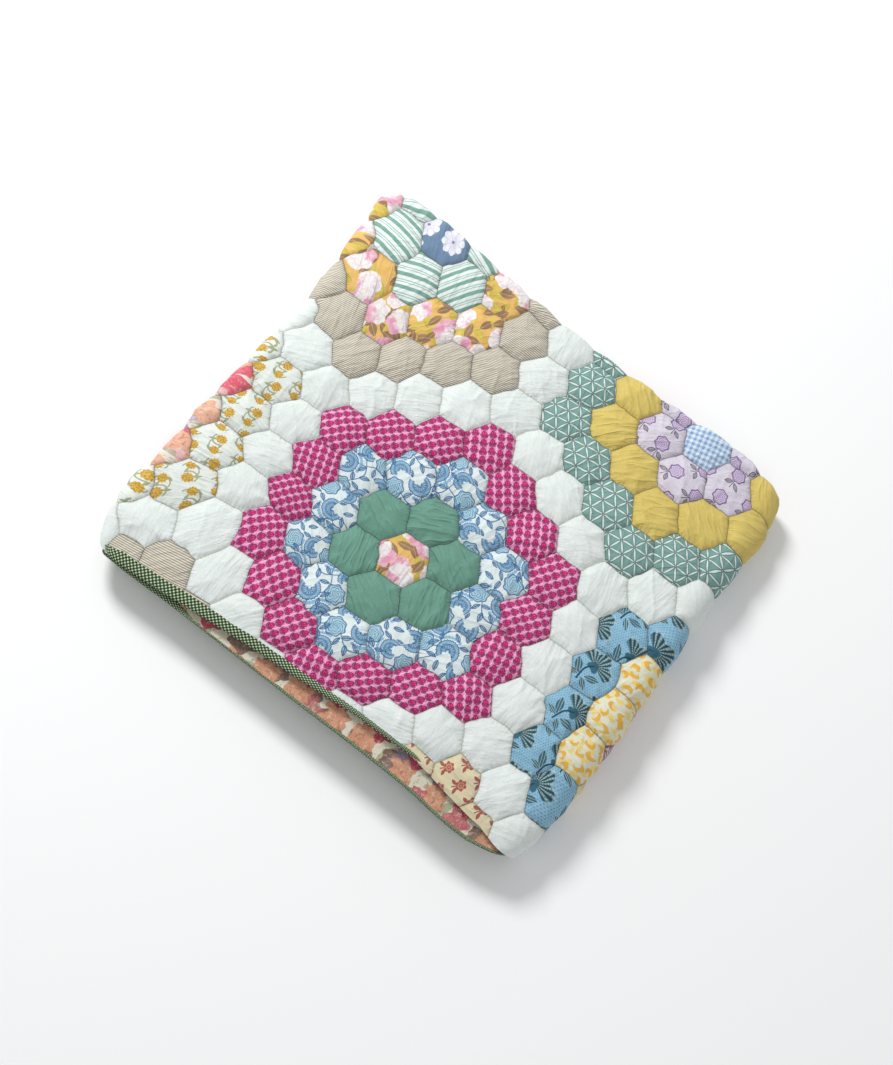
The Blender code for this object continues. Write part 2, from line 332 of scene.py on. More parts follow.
def relief(u, v):
    """How far the patchwork stands off the even cloth: puffs, sunk seams, puckers, creases and swells."""
    x, y = u + LATTICE_X, v + LATTICE_Y
    p, q, dx, dy = hexagon(x, y)
    sector = sector_of(dx, dy)
    run, inside = seam_place(dx, dy, sector)
    inset = np.clip(inside / HALF_FLAT, 0, 1)
    turned = np.maximum(np.maximum(U_STOPS[2] - u, u - U_STOPS[3]), 0)
    under = np.maximum(U_STOPS[1] - u, u - U_STOPS[4])
    folded = np.clip((v - V_STOPS[1]) / (V_STOPS[2] - V_STOPS[1]), 0, 1)
    free = np.clip(1 - turned / TURN_REACH, 0.5, 1) * np.clip(1 - under / UNDER_REACH, 0, 1)
    free = free * (1 - folded)
    back = np.exp(-((v - (V_STOPS[1] + V_STOPS[2]) / 2) ** 2) / (2 * BACK_WIDTH**2))
    free = np.maximum(free, BACK_FREEDOM * back)
    free *= np.clip((v - 0.4 * BINDING_WIDTH) / (1.4 * BINDING_WIDTH), 0, 1)
    fullness = 1 + PUFF_SPREAD * noise(p * 1.7, q * 1.9, 3)
    puff = PUFF * fullness * (1 - (1 - inset) ** 2.5)
    groove = GROOVE_DEPTH * (1 - np.exp(-inside / GROOVE_WIDTH)) - GROOVE_DEPTH
    tag = p * 7.3 + q * 3.1 + sector * 1.7
    pucker = PUCKER_HEIGHT * noise(run / PUCKER_PITCH, tag, 5) * np.exp(-inside / PUCKER_REACH)
    pucker *= 1 - np.exp(-inside / PUCKER_START)
    lean = np.radians(CREASE_LEAN + CREASE_LEAN_SPREAD * noise(p * 0.9, q * 1.1, 8))
    cross = x * np.cos(lean) + y * np.sin(lean)
    length = -x * np.sin(lean) + y * np.cos(lean)
    ridges = 0.0
    for width, reach, height, seed in RIDGES:
        line = noise(cross / width + seed, length / reach, seed)
        drawn = np.clip(0.35 + noise(x / 0.031, y / 0.027, seed + 1), 0, 1)
        ridges = ridges + height * drawn * np.exp(-abs(line) / RIDGE_SHARPNESS)
    ridges = MAX_RIDGE * np.tanh(ridges / MAX_RIDGE) - MEAN_RIDGE
    crease = (ridges + CREASE_HEIGHT * noise(cross / 0.013, length / 0.045, 12)) * np.clip(3 * inset, 0, 1)
    swell = sum(height * noise(x / size_x, y / size_y, seed) for height, size_x, size_y, seed in SWELLS)
    loose = puff + groove + pucker + crease + swell
    pressed = PRESSED_DEPTH * (1 - np.exp(-inside / PRESSED_WIDTH)) - PRESSED_DEPTH
    return free * loose + (1 - free) * pressed


# The seams wander in slow and in quick swells. Those sizes, and how far they stray.
SLOW_STRAY, QUICK_STRAY = 0.0020, 0.0010
SLOW_LONG, SLOW_SHORT = 0.023, 0.021
QUICK_SIZE = 0.0075
STRAY_FROM_EDGE = 0.03

# How far the hexagons are drawn into the right fold, and where along it.
DRAWN_SHIFT = 0.016
DRAWN_V, DRAWN_WIDTH = 0.115, 0.050

# How far they are pushed back from the left end of the front edge, and where.
PUSHED_SHIFT = 0.011
PUSHED_U, PUSHED_U_WIDTH = 0.025, 0.022
PUSHED_V, PUSHED_V_WIDTH = 0.014, 0.014


def stray(u, v, size_u, size_v, seed):
    """How far a seam strays from its place along one axis."""
    slow = SLOW_STRAY * noise(u / size_u, v / size_v, seed)
    return slow + QUICK_STRAY * noise(u / QUICK_SIZE, v / QUICK_SIZE, seed + 1)


def wander(u, v):
    """Where the seams really run: each hexagon was cut and sewn by hand, and some are drawn into the fold."""
    share = np.clip(from_edge(u, v) / STRAY_FROM_EDGE, 0, 1)
    off_u = stray(u, v, SLOW_SHORT, SLOW_LONG, 51)
    off_v = stray(u, v, SLOW_LONG, SLOW_SHORT, 53)
    drawn = np.clip((u - U_STOPS[3] + 0.030) / 0.040, 0, 1) * np.clip((U_STOPS[4] - u) / 0.030, 0, 1)
    drawn = drawn * np.exp(-((v - DRAWN_V) ** 2) / (2 * DRAWN_WIDTH**2))
    off_x = (u - U_STOPS[2] - PUSHED_U) / PUSHED_U_WIDTH
    pushed = PUSHED_SHIFT * np.exp(-(off_x**2) / 2 - ((v - PUSHED_V) ** 2) / (2 * PUSHED_V_WIDTH**2))
    return u + share * off_u - DRAWN_SHIFT * drawn, v + share * off_v + np.clip(v / 0.006, 0, 1) * pushed


# Where the edge is rolled under along the front: from here to the right, and from here to the left.
ROLLED_FROM_X, ROLLED_TO_X = 0.100, -0.220


def tuck(u, v):
    """How far the patchwork's edge is curled over the front and the tape pulled under it, from 0 to 1."""
    top = (v < THIN_EDGE) & (u > U_STOPS[1]) & (u < U_STOPS[4])
    x = u + LATTICE_X
    right = np.clip((x - ROLLED_FROM_X) / 0.050, 0, 1) * np.clip((U_STOPS[4] - u) / 0.012, 0, 1)
    left = np.clip((ROLLED_TO_X - x) / 0.012, 0, 1) * np.clip((u - U_STOPS[1]) / 0.008, 0, 1)
    share = np.maximum(left, right)
    return np.where(top, share * share * (3 - 2 * share), 0)


def flower_of(p, q):
    """The flower nearest to a hexagon, as its place in the lattice of flowers, and the ring it is in."""
    best = (99, 0, 0)
    a0, b0 = (2 * p + q) / 12, (q - p) / 12
    for a in (math.floor(a0), math.ceil(a0)):
        for b in (math.floor(b0), math.ceil(b0)):
            dp, dq = p - 4 * (a - b), q - 4 * a - 8 * b
            best = min(best, (max(abs(dp), abs(dq), abs(dp + dq)), a, b))
    return best


def fabric_of(p, q):
    """A hexagon's fabric. Beyond the flowers that show, those same flowers are repeated in another order."""
    ring, a, b = flower_of(p, q)
    if ring > 3:
        return "path"
    known = sorted(FLOWERS)
    return FLOWERS.get((a, b), FLOWERS[known[(3 * a + 5 * b) % len(known)]])[ring]


# How each fabric is turned in its hexagons, in degrees: the turns it may have, and how far it strays.
TURNS = {
    "ticking": ((0, 12, 20), 5),
    "stripe": ((-12, 15, 56), 4),
    "rosebud": ((-37, -37, 23), 12),
    "star": ((0, 60), 9),
    "vine": ((0, 60, 120, 180, 240, 300), 25),
    "sprig": ((-37, 23, 143), 15),
    "rust": ((-37,), 10),
    "lilac": ((-37, 0), 18),
    "crescent": ((-37, 20), 20),
    "sky": ((-37,), 16),
    "gingham": ((12,), 2),
}
OTHER_TURNS = ((0, 60, 120, 180, 240, 300), 20)


# Striped hexagons whose turn shows plainly, in degrees.
SEEN_TURNS = {
    (-5, 8): -12,
    (-4, 7): 15,
    (-3, 7): 56,
    (-3, 8): -14,
    (-4, 9): 6,
    (-5, 9): 10,
    (-4, 5): 10,
    (-3, 5): 14,
    (-2, 5): 20,
    (-5, 6): 66,
    (-1, 5): 18,
    (-1, 6): 4,
    (-4, -1): 4,
    (-5, -1): 4,
}


def cut(p, q, fabric):
    """How one hexagon was cut from its fabric: the turn, the place in the print, and its own slight tint."""
    pick = random.Random(p * 7919 + q * 104729 + 17)
    turns, spread = TURNS.get(fabric, OTHER_TURNS)
    turn = math.radians(SEEN_TURNS.get((p, q), pick.choice(turns) + pick.uniform(-spread, spread)))
    return turn, pick.uniform(-300, 300), pick.uniform(-300, 300), pick.uniform(-1, 1)


def lattice_ends(offset, length, step):
    """The whole numbers of fine steps that enclose a stretch of the cloth."""
    return math.floor(offset / step), math.ceil((offset + length) / step)


def is_fine(i, j):
    """Whether the coarse cell that starts at (i, j) is divided finely, because it shows."""
    u = (i + COARSE / 2) * STEP_X - LATTICE_X
    v = (j + COARSE / 2) * STEP_Y - LATTICE_Y
    on_top = U_STOPS[1] - FINE_MARGIN < u < U_STOPS[4] + FINE_MARGIN and v < V_STOPS[2] + FINE_MARGIN
    on_back = V_STOPS[1] - FINE_MARGIN < v < V_STOPS[2] + FINE_MARGIN
    return on_top or on_back


def rises(i, j):
    """Whether the cell's diagonal, which follows a seam or the line from a corner to the middle, rises."""
    column, row = i // FINE, j // FINE
    return (column % 3 == 1) != ((column // 3 + row) % 2 == 0)


def split(i, j, size, ends, mids=((), (), (), ())):
    """A cell's two halves as lists of lattice places. mids are extra ones on its sides, from the front."""
    (low_i, high_i), (low_j, high_j) = ends
    west, east = max(i, low_i), min(i + size, high_i)
    south, north = max(j, low_j), min(j + size, high_j)
    if east <= west or north <= south:
        return []
    a, b, c, d = (west, south), (east, south), (west, north), (east, north)
    front, right, back, left = mids
    if rises(i, j):
        return [[a, *front, b, *right, d], [a, d, *back[::-1], c, *left[::-1]]]
    return [[a, *front, b, c, *left[::-1]], [b, *right, d, *back[::-1], c]]


def patchwork_faces():
    """The patchwork's faces as lists of lattice places: fine cells where it shows, coarse ones elsewhere."""
    ends_i = lattice_ends(LATTICE_X, U_STOPS[5], STEP_X)
    ends_j = lattice_ends(LATTICE_Y, V_STOPS[3], STEP_Y)
    ends = (ends_i, ends_j)
    first_i, first_j = ends_i[0] // COARSE * COARSE, ends_j[0] // COARSE * COARSE
    faces = []
    for i in range(first_i, ends_i[1], COARSE):
        for j in range(first_j, ends_j[1], COARSE):
            if is_fine(i, j):
                for n in range(COARSE * COARSE):
                    faces += split(i + n // COARSE, j + n % COARSE, 1, ends)
                continue
            inner_i = [k for k in range(i + 1, i + COARSE) if ends_i[0] < k < ends_i[1]]
            inner_j = [k for k in range(j + 1, j + COARSE) if ends_j[0] < k < ends_j[1]]
            mids = (
                [(k, max(j, ends_j[0])) for k in inner_i] if is_fine(i, j - COARSE) else [],
                [(min(i + COARSE, ends_i[1]), k) for k in inner_j] if is_fine(i + COARSE, j) else [],
                [(k, min(j + COARSE, ends_j[1])) for k in inner_i] if is_fine(i, j + COARSE) else [],
                [(max(i, ends_i[0]), k) for k in inner_j] if is_fine(i - COARSE, j) else [],
            )
            faces += split(i, j, COARSE, ends, mids)
    return faces


def add_mesh(name, points, faces, materials, numbers=None):
    """A shown piece that rides on the part's one body."""
    mesh = bpy.data.meshes.new(name)
    mesh.from_pydata(np.asarray(points).tolist(), [], faces)
    for material in materials:
        mesh.materials.append(material)
    if numbers is not None:
        mesh.polygons.foreach_set("material_index", numbers)
    mesh.shade_smooth()
    made = bpy.data.objects.new(name, mesh)
    bpy.context.scene.collection.objects.link(made)
    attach(made, "root")
    return made


def add_map(mesh, name, coordinates):
    """A map of the surface in millimetres, which its fabric is drawn in."""
    mesh.uv_layers.new(name=name)
    mesh.uv_layers[name].uv.foreach_set("vector", np.asarray(coordinates, np.float32).ravel())


# How far the rolled edge is carried over the front and curled down.
ROLL_OVER = 0.0016
ROLL_DOWN = 0.0024


def make_patchwork(materials):
    """The pieced face, with each hexagon cut and turned in its own fabric and each face in one hexagon."""
    faces = patchwork_faces()
    places = sorted({place for face in faces for place in face})
    number = {place: n for n, place in enumerate(places)}
    spots = np.array(places, float)
    u = np.clip(spots[:, 0] * STEP_X - LATTICE_X, 0, U_STOPS[5])
    v = np.clip(spots[:, 1] * STEP_Y - LATTICE_Y, 0, V_STOPS[3])
    at_u, at_v = wander(u, v)
    curl = tuck(u, v)
    over = ROLL_OVER * curl * np.exp(-v / 0.004)
    lift = half_thickness(u, v) + relief(u, v)
    points = place(at_u, at_v - over, lift - ROLL_DOWN * curl * np.exp(-((v / 0.0022) ** 2)))
    sizes = np.array([len(face) for face in faces])
    corners = np.array([number[place] for face in faces for place in face])
    face_of = np.repeat(np.arange(len(faces)), sizes)
    x, y = (u + LATTICE_X)[corners], (v + LATTICE_Y)[corners]
    middle_x = np.bincount(face_of, x) / sizes
    middle_y = np.bincount(face_of, y) / sizes
    p, q, dx, dy = hexagon(middle_x, middle_y)
    sector = sector_of(dx, dy)
    cuts, fabrics = {}, {}
    for pq in set(zip(p.tolist(), q.tolist())):
        fabrics[pq] = FABRICS.index(fabric_of(*pq))
        cuts[pq] = cut(*pq, FABRICS[fabrics[pq]])
    pairs = list(zip(p.tolist(), q.tolist()))
    turn, shift_x, shift_y, tint = np.array([cuts[pq] for pq in pairs]).T
    off_x = x - (middle_x - dx)[face_of]
    off_y = y - (middle_y - dy)[face_of]
    true_x = off_x + (at_u - u)[corners]
    true_y = off_y + (at_v - v)[corners]
    turn = turn[face_of]
    cloth_x = 1000 * (true_x * np.cos(turn) + true_y * np.sin(turn)) + shift_x[face_of]
    cloth_y = 1000 * (-true_x * np.sin(turn) + true_y * np.cos(turn)) + shift_y[face_of]
    run, inside = seam_place(off_x, off_y, sector[face_of])
    run = 1000 * run + (60 * (sector + 7 * (p % 11) + 13 * (q % 7)))[face_of]
    made = add_mesh(
        "quilt_face",
        points,
        [[number[place] for place in face] for face in faces],
        [materials[name] for name in FABRICS],
        [fabrics[pq] for pq in pairs],
    )
    add_map(made.data, "cloth", np.stack([cloth_x, cloth_y], -1))
    add_map(made.data, "seam", np.stack([run, 1000 * inside], -1))
    made.data.attributes.new("tint", "FLOAT", "FACE").data.foreach_set("value", tint.astype(np.float32))
    return made


def lines(*stretches):
    """The places of a row of lines. Each stretch is its start, its end and the widest step."""
    made = []
    for start, end, step in stretches:
        made += list(np.linspace(start, end, max(1, math.ceil((end - start) / step)), endpoint=False))
    return np.array(made + [stretches[-1][1]])


# The widest steps of the backing's mesh where it is hidden, near its edges, in the left turn, on top, in the
# back turn, and next to the inner ply's front edge, where it shows. Then the widths of the bands at the edges.
HIDDEN_STEP, EDGE_STEP = 0.012, 0.005
LEFT_STEP, TOP_STEP = 0.0025, 0.0035
BACK_STEP, SHOWN_STEP = 0.0016, 0.0020
END_BAND, FRONT_BAND, SHOWN_BAND = 0.02, 0.03, 0.045


def make_backing(material):
    """The printed backing, fine along the front where it shows between the bound edges."""
    us = lines(
        (0, END_BAND, EDGE_STEP),
        (END_BAND, U_STOPS[1], HIDDEN_STEP),
        (U_STOPS[1], U_STOPS[2], LEFT_STEP),
        (U_STOPS[2], U_STOPS[3], TOP_STEP),
        (U_STOPS[3], U_STOPS[4], TOP_STEP),
        (U_STOPS[4], U_STOPS[5] - END_BAND, HIDDEN_STEP),
        (U_STOPS[5] - END_BAND, U_STOPS[5], EDGE_STEP),
    )
    vs = lines(
        (0, FRONT_BAND, EDGE_STEP),
        (FRONT_BAND, V_STOPS[1], HIDDEN_STEP),
        (V_STOPS[1], V_STOPS[2], BACK_STEP),
        (V_STOPS[2], V_STOPS[3] - SHOWN_BAND, HIDDEN_STEP),
        (V_STOPS[3] - SHOWN_BAND, V_STOPS[3], SHOWN_STEP),
    )
    u, v = (grid.ravel() for grid in np.meshgrid(us, vs, indexing="ij"))
    loose = 0.0007 * noise(u / 0.019, v / 0.016, 31) + 0.0005 * noise(u / 0.0085, v / 0.011, 32)
    loose *= np.clip(np.minimum(V_STOPS[3] - v, v) / 0.02, 0, 1)
    points = place(u, v, -half_thickness(u, v) + loose)
    rows = len(vs)
    faces, cloth = [], []
    for i in range(len(us) - 1):
        for j in range(rows - 1):
            a, b = i * rows + j, (i + 1) * rows + j
            faces.append((a, a + 1, b + 1, b))
            cloth += [a, a + 1, b + 1, b]
    made = add_mesh("quilt_backing", points, faces, [material])
    add_map(made.data, "cloth", 1000 * np.stack([u, v], -1)[cloth])
    return made


# How wide the tape shows on the patchwork side along the top edge, on whose right it is rolled under.
# Columns: X, width.
SHOWN_LIPS = (
    (-0.235, 0.0030),
    (-0.210, 0.0088),
    (-0.060, 0.0084),
    (0.020, 0.0058),
    (0.060, 0.0038),
    (0.130, 0.0028),
    (0.240, 0.0020),
)

# The same on the backing side along the second edge, where it is rolled under except at the left.
HIDDEN_LIPS = (
    (-0.140, 0.0060),
    (-0.115, 0.0015),
    (-0.030, 0.0012),
    (0.000, 0.0022),
    (0.240, 0.0024),
)


def lip(u, at_front, widths):
    """How wide the tape shows. The widths hold for the stretch at the front that lies on top."""
    on_top = at_front & (u > U_STOPS[1]) & (u < U_STOPS[4])
    return np.where(on_top, np.interp(u + LATTICE_X, *zip(*widths)), BINDING_WIDTH)


# Half of the tape's section, from its inner edge to its nose. Columns: share of the lip inwards, distance out
# past the edge, share of the cloth's half thickness, lift over that, share of the ripple.
TAPE_SECTION = (
    (1.0, 0.0, 1.0, 0.0001, 0.0),
    (1.0, 0.0, 1.0, 0.0009, 0.0),
    (0.8, 0.0, 1.0, 0.0011, 0.5),
    (0.4, 0.0, 1.0, 0.0012, 0.5),
    (0.0, 0.0, 1.0, 0.0009, 0.0),
    (0.0, 0.0012, 0.72, 0.0004, 0.0),
    (0.0, 0.0019, 0.36, 0.0, 0.0),
)

# How far apart the lines of that section are on the flat tape, in millimetres, from edge to edge.
TAPE_STEPS = (0.8, 0.8, 2, 4, 4, 1.4, 1.0, 1.0, 1.0, 1.4, 4, 4, 2, 0.8)
TAPE_LONG_STEP, TAPE_TOP_STEP = 0.006, 0.0028

# How far the tape is pulled under where the edge is rolled.
TAPE_UNDER = 0.0026


def make_binding(material):
    """The bias tape, folded over the cloth's edge all the way round and mitred at the corners."""
    end_u, end_v = U_STOPS[5], V_STOPS[3]
    edge = 1.05 * BINDING_WIDTH
    us = lines(
        (edge, U_STOPS[1], TAPE_LONG_STEP),
        (U_STOPS[1], U_STOPS[4], TAPE_TOP_STEP),
        (U_STOPS[4], end_u - edge, TAPE_LONG_STEP),
    )
    vs = lines(
        (edge, V_STOPS[1], TAPE_LONG_STEP),
        (V_STOPS[1], V_STOPS[2], BACK_STEP),
        (V_STOPS[2], end_v - edge, TAPE_LONG_STEP),
    )
    stations = [(0, 0, -1, -1), *((u, 0, 0, -1) for u in us), (end_u, 0, 1, -1)]
    stations += [*((end_u, v, 1, 0) for v in vs), (end_u, end_v, 1, 1)]
    stations += [*((u, end_v, 0, 1) for u in us[::-1]), (0, end_v, -1, 1)]
    stations += [(0, v, -1, 0) for v in vs[::-1]]
    u, v, out_u, out_v = np.array(stations, float).T
    run = np.concatenate([[0], np.cumsum(np.hypot(np.diff(u), np.diff(v)))])
    ripple = 0.00025 * noise(run / 0.006, 0 * run, 41) + 0.0003 * noise(run / 0.017, 0 * run, 42)
    half = EDGE_PLY / 2
    shown = lip(u, v < THIN_EDGE, SHOWN_LIPS) + ripple
    hidden = lip(u, v > V_STOPS[3] - THIN_EDGE, HIDDEN_LIPS) - ripple
    section = []
    for side, width in ((1, shown), (-1, hidden)):
        rows = [
            (past - inwards * width, side * (full * half + lift + part * ripple))
            for inwards, past, full, lift, part in TAPE_SECTION
        ]
        section += rows if side > 0 else rows[::-1]
    under = TAPE_UNDER * tuck(u, v)
    points = [place(u + out * out_u, v + (out - under) * out_v, lift - under) for out, lift in section]
    size, count = len(section), len(stations)
    width = np.cumsum(TAPE_STEPS)
    faces, cloth = [], []
    for i in range(count):
        k = (i + 1) % count
        end = 1000 * (run[k] if k else run[i] + TAPE_LONG_STEP)
        for m in range(size - 1):
            faces.append((m * count + i, (m + 1) * count + i, (m + 1) * count + k, m * count + k))
            start = 1000 * run[i]
            cloth += [(start, width[m]), (start, width[m + 1]), (end, width[m + 1]), (end, width[m])]
    made = add_mesh("quilt_binding", np.concatenate(points), faces, [material])
    add_map(made.data, "cloth", cloth)
    return made


class Value:
    """A number at each point of a surface, built from the nodes of one material."""

    def __init__(self, net, socket):
        self.net, self.socket = net, socket

    def __add__(self, other):
        return self.net.math("ADD", self, other)

    def __sub__(self, other):
        return self.net.math("SUBTRACT", self, other)

    def __rsub__(self, other):
        return self.net.math("SUBTRACT", other, self)

    def __mul__(self, other):
        return self.net.math("MULTIPLY", self, other)

    def __truediv__(self, other):
        return self.net.math("DIVIDE", self, other)

    def __abs__(self):
        return self.net.math("ABSOLUTE", self)

    __radd__, __rmul__ = __add__, __mul__


class Net:
    """The node tree of one fabric. Lengths are in millimetres and colours are 0 to 255, as on a screen."""

    def __init__(self, name):
        self.material = bpy.data.materials.new(name)
        self.material.use_nodes = True
        self.nodes = self.material.node_tree.nodes
        self.links = self.material.node_tree.links
        self.shader = self.nodes["Principled BSDF"]

    def feed(self, socket, value):
        """Link the value to the socket, or set it there where it is the same all over."""
        if isinstance(value, Value):
            value = value.socket
        if isinstance(value, bpy.types.NodeSocket):
            self.links.new(value, socket)
        elif socket.type == "RGBA":
            socket.default_value = (*(linear(c) for c in value), 1)
        else:
            socket.default_value = value

    def math(self, operation, *values):
        node = self.nodes.new("ShaderNodeMath")
        node.operation = operation
        for socket, value in zip(node.inputs, values):
            self.feed(socket, value)
        return Value(self, node.outputs[0])

    def map(self, name):
        """The two coordinates of one of the mesh's maps."""
        node = self.nodes.new("ShaderNodeUVMap")
        node.uv_map = name
        return self.parts(node.outputs[0])

    def parts(self, vector):
        node = self.nodes.new("ShaderNodeSeparateXYZ")
        self.links.new(vector, node.inputs[0])
        return Value(self, node.outputs[0]), Value(self, node.outputs[1])

    def vector(self, x, y, z=0.0):
        node = self.nodes.new("ShaderNodeCombineXYZ")
        for socket, value in zip(node.inputs, (x, y, z)):
            self.feed(socket, value)
        return node.outputs[0]

    def face(self, name):
        """A number that each face of the mesh has."""
        node = self.nodes.new("ShaderNodeAttribute")
        node.attribute_name = name
        return Value(self, node.outputs["Fac"])

    def noise(self, x, y, size, detail=2.0, seed=0.0):
        """Soft noise from 0 to 1, with swells of about the given size."""
        node = self.nodes.new("ShaderNodeTexNoise")
        self.links.new(self.vector(x, y, seed), node.inputs["Vector"])
        node.inputs["Scale"].default_value = 1 / size
        node.inputs["Detail"].default_value = detail
        return Value(self, node.outputs["Fac"])

    def scatter(self, x, y, pitch, spread=0.6):
        """The place from the middle of the nearest scattered motif, and that motif's own random number."""
        node = self.nodes.new("ShaderNodeTexVoronoi")
        node.voronoi_dimensions = "2D"
        self.links.new(self.vector(x, y), node.inputs["Vector"])
        node.inputs["Scale"].default_value = 1 / pitch
        node.inputs["Randomness"].default_value = spread
        middle_x, middle_y = self.parts(node.outputs["Position"])
        own, _ = self.parts(node.outputs["Color"])
        return x - middle_x, y - middle_y, own

    def step(self, value, edge, soft=0.25):
        """1 below the edge and 0 above it."""
        node = self.nodes.new("ShaderNodeMapRange")
        node.interpolation_type = "SMOOTHSTEP"
        self.feed(node.inputs["Value"], value)
        self.feed(node.inputs["From Min"], edge - soft)
        self.feed(node.inputs["From Max"], edge + soft)
        self.feed(node.inputs["To Min"], 1.0)
        self.feed(node.inputs["To Max"], 0.0)
        return Value(self, node.outputs["Result"])

    def past(self, value, edge, soft):
        """1 above the edge and 0 below it."""
        return self.step(value * -1, -edge, soft)

    def mix(self, under, over, share, blend="MIX"):
        """One colour laid over another."""
        node = self.nodes.new("ShaderNodeMix")
        node.data_type = "RGBA"
        node.blend_type = blend
        factor, first, second = (s for s in node.inputs if s.enabled)
        self.feed(factor, share)
        self.feed(first, under)
        self.feed(second, over)
        return next(s for s in node.outputs if s.enabled)

    def both(self, *masks):
        """The masks' common part."""
        made = masks[0]
        for mask in masks[1:]:
            made = self.math("MULTIPLY", made, mask)
        return made

    def either(self, *masks):
        """All that any of the masks covers."""
        made = masks[0]
        for mask in masks[1:]:
            made = self.math("MAXIMUM", made, mask)
        return made

    def length(self, x, y):
        return self.math("SQRT", x * x + y * y)

    def angle(self, x, y):
        return self.math("ARCTAN2", y, x)

    def turned(self, x, y, degrees):
        """The place as seen from axes turned by so much."""
        c, s = math.cos(math.radians(degrees)), math.sin(math.radians(degrees))
        return x * c + y * s, y * c - x * s

    def repeat(self, value, pitch):
        """The place from the middle of the nearest repeat, and the repeat's number."""
        number = self.math("FLOOR", value / pitch + 0.5)
        return value - number * pitch, number

    def tile(self, x, y, width, height, drop=0.5):
        """The place in a tile, with every other column dropped by a share of the height."""
        local_x, column = self.repeat(x, width)
        odd = self.math("PINGPONG", column, 1.0)
        local_y, _ = self.repeat(y + odd * (drop * height), height)
        return local_x, local_y

    def spot(self, x, y, radius, soft=0.25):
        """1 inside of a circle."""
        return self.step(self.length(x, y), radius, soft)

    def band(self, value, half, soft):
        """1 where the value is nearer to 0 than half."""
        return self.step(abs(value), half, soft)

    def bars(self, value, pitch, half, soft):
        """Parallel bars, each so wide to both sides of its middle."""
        return self.band(self.repeat(value, pitch)[0], half, soft)

    def laid(self, ground, *layers):
        """A ground with colours laid over it, each through its own mask."""
        for colour, mask in layers:
            ground = self.mix(ground, colour, mask)
        return ground

    def ring(self, distance, radius, width, soft=0.15):
        """1 along a line of that width round the radius."""
        return self.band(distance - radius, width / 2, soft)

    def leaf(self, x, y, at_x, at_y, degrees, length, width, soft=0.2):
        """A pointed leaf: 1 inside it. Also its distance from its middle rib."""
        along_it, off = self.turned(x - at_x, y - at_y, degrees)
        reach = along_it / (length / 2)
        return self.step(abs(off) + reach * reach * (width / 2), width / 2, soft), abs(off)

    def spun(self, x, y, own):
        """The place as seen from axes turned by a motif's own random number."""
        cos, sin = self.math("COSINE", own * 6.28), self.math("SINE", own * 6.28)
        return x * cos + y * sin, y * cos - x * sin

    def spun_leaf(self, x, y, own, length, width):
        """A leaf at a motif's middle, turned by the motif's own random number."""
        return self.leaf(*self.spun(x, y, own), 0.0, 0.0, 0, length, width, 0.4)

    def petals(self, x, y, count, radius, depth, start=0.0):
        """The distance from a flower's middle as a share of its own edge there."""
        wave = self.math("COSINE", self.angle(x, y) * count + start)
        return self.length(x, y) / (wave * (depth * radius) + radius)


def linear(value):
    """A screen colour's value from 0 to 255 as the share of light that it stands for."""
    value /= 255
    return value / 12.92 if value <= 0.04045 else ((value + 0.055) / 1.055) ** 2.4


def paint_path(n, x, y):
    return n.mix((224, 230, 227), (213, 220, 216), n.noise(x, y, 14, 3))


def paint_sage(n, x, y):
    return n.mix((110, 155, 138), (97, 142, 126), n.noise(x, y, 12, 3))


def paint_mustard(n, x, y):
    return n.mix((219, 198, 116), (205, 181, 94), n.noise(x, y, 13, 3))


def checks(n, warp, weft, ground, single, double):
    """Woven checks, with both threads coloured where the stripes cross."""
    return n.mix(n.mix(ground, single, n.either(warp, weft)), double, n.both(warp, weft))


def paint_gingham(n, x, y):
    """Light blue and white gingham."""
    warp, weft = n.bars(x, 5.4, 1.35, 0.25), n.bars(y, 5.4, 1.35, 0.25)
    return checks(n, warp, weft, (222, 230, 236), (180, 202, 226), (132, 164, 204))


def paint_ticking(n, x, y):
    """Fine even stripes on a beige ground."""
    thread = n.bars(y + n.noise(x, y, 20) * 0.6, 1.85, 0.36, 0.22)
    return n.mix((214, 208, 193), (116, 104, 84), thread * 0.85)


def paint_stripe(n, x, y):
    """Green stripes on white, each wide one with a pair of thin ones beside it."""
    y = y + n.noise(x, y, 8) * 0.8
    place, _ = n.repeat(y, 9.6)
    wide = n.band(place + 1.8, 1.45, 0.25)
    thin = n.either(n.band(place - 1.9, 0.34, 0.2), n.band(place - 3.5, 0.40, 0.2))
    worn = 0.98 - n.noise(x, y, 0.9, 2) * 0.30
    return n.mix((222, 231, 228), (86, 146, 126), n.either(wide, thin * 0.75) * worn)


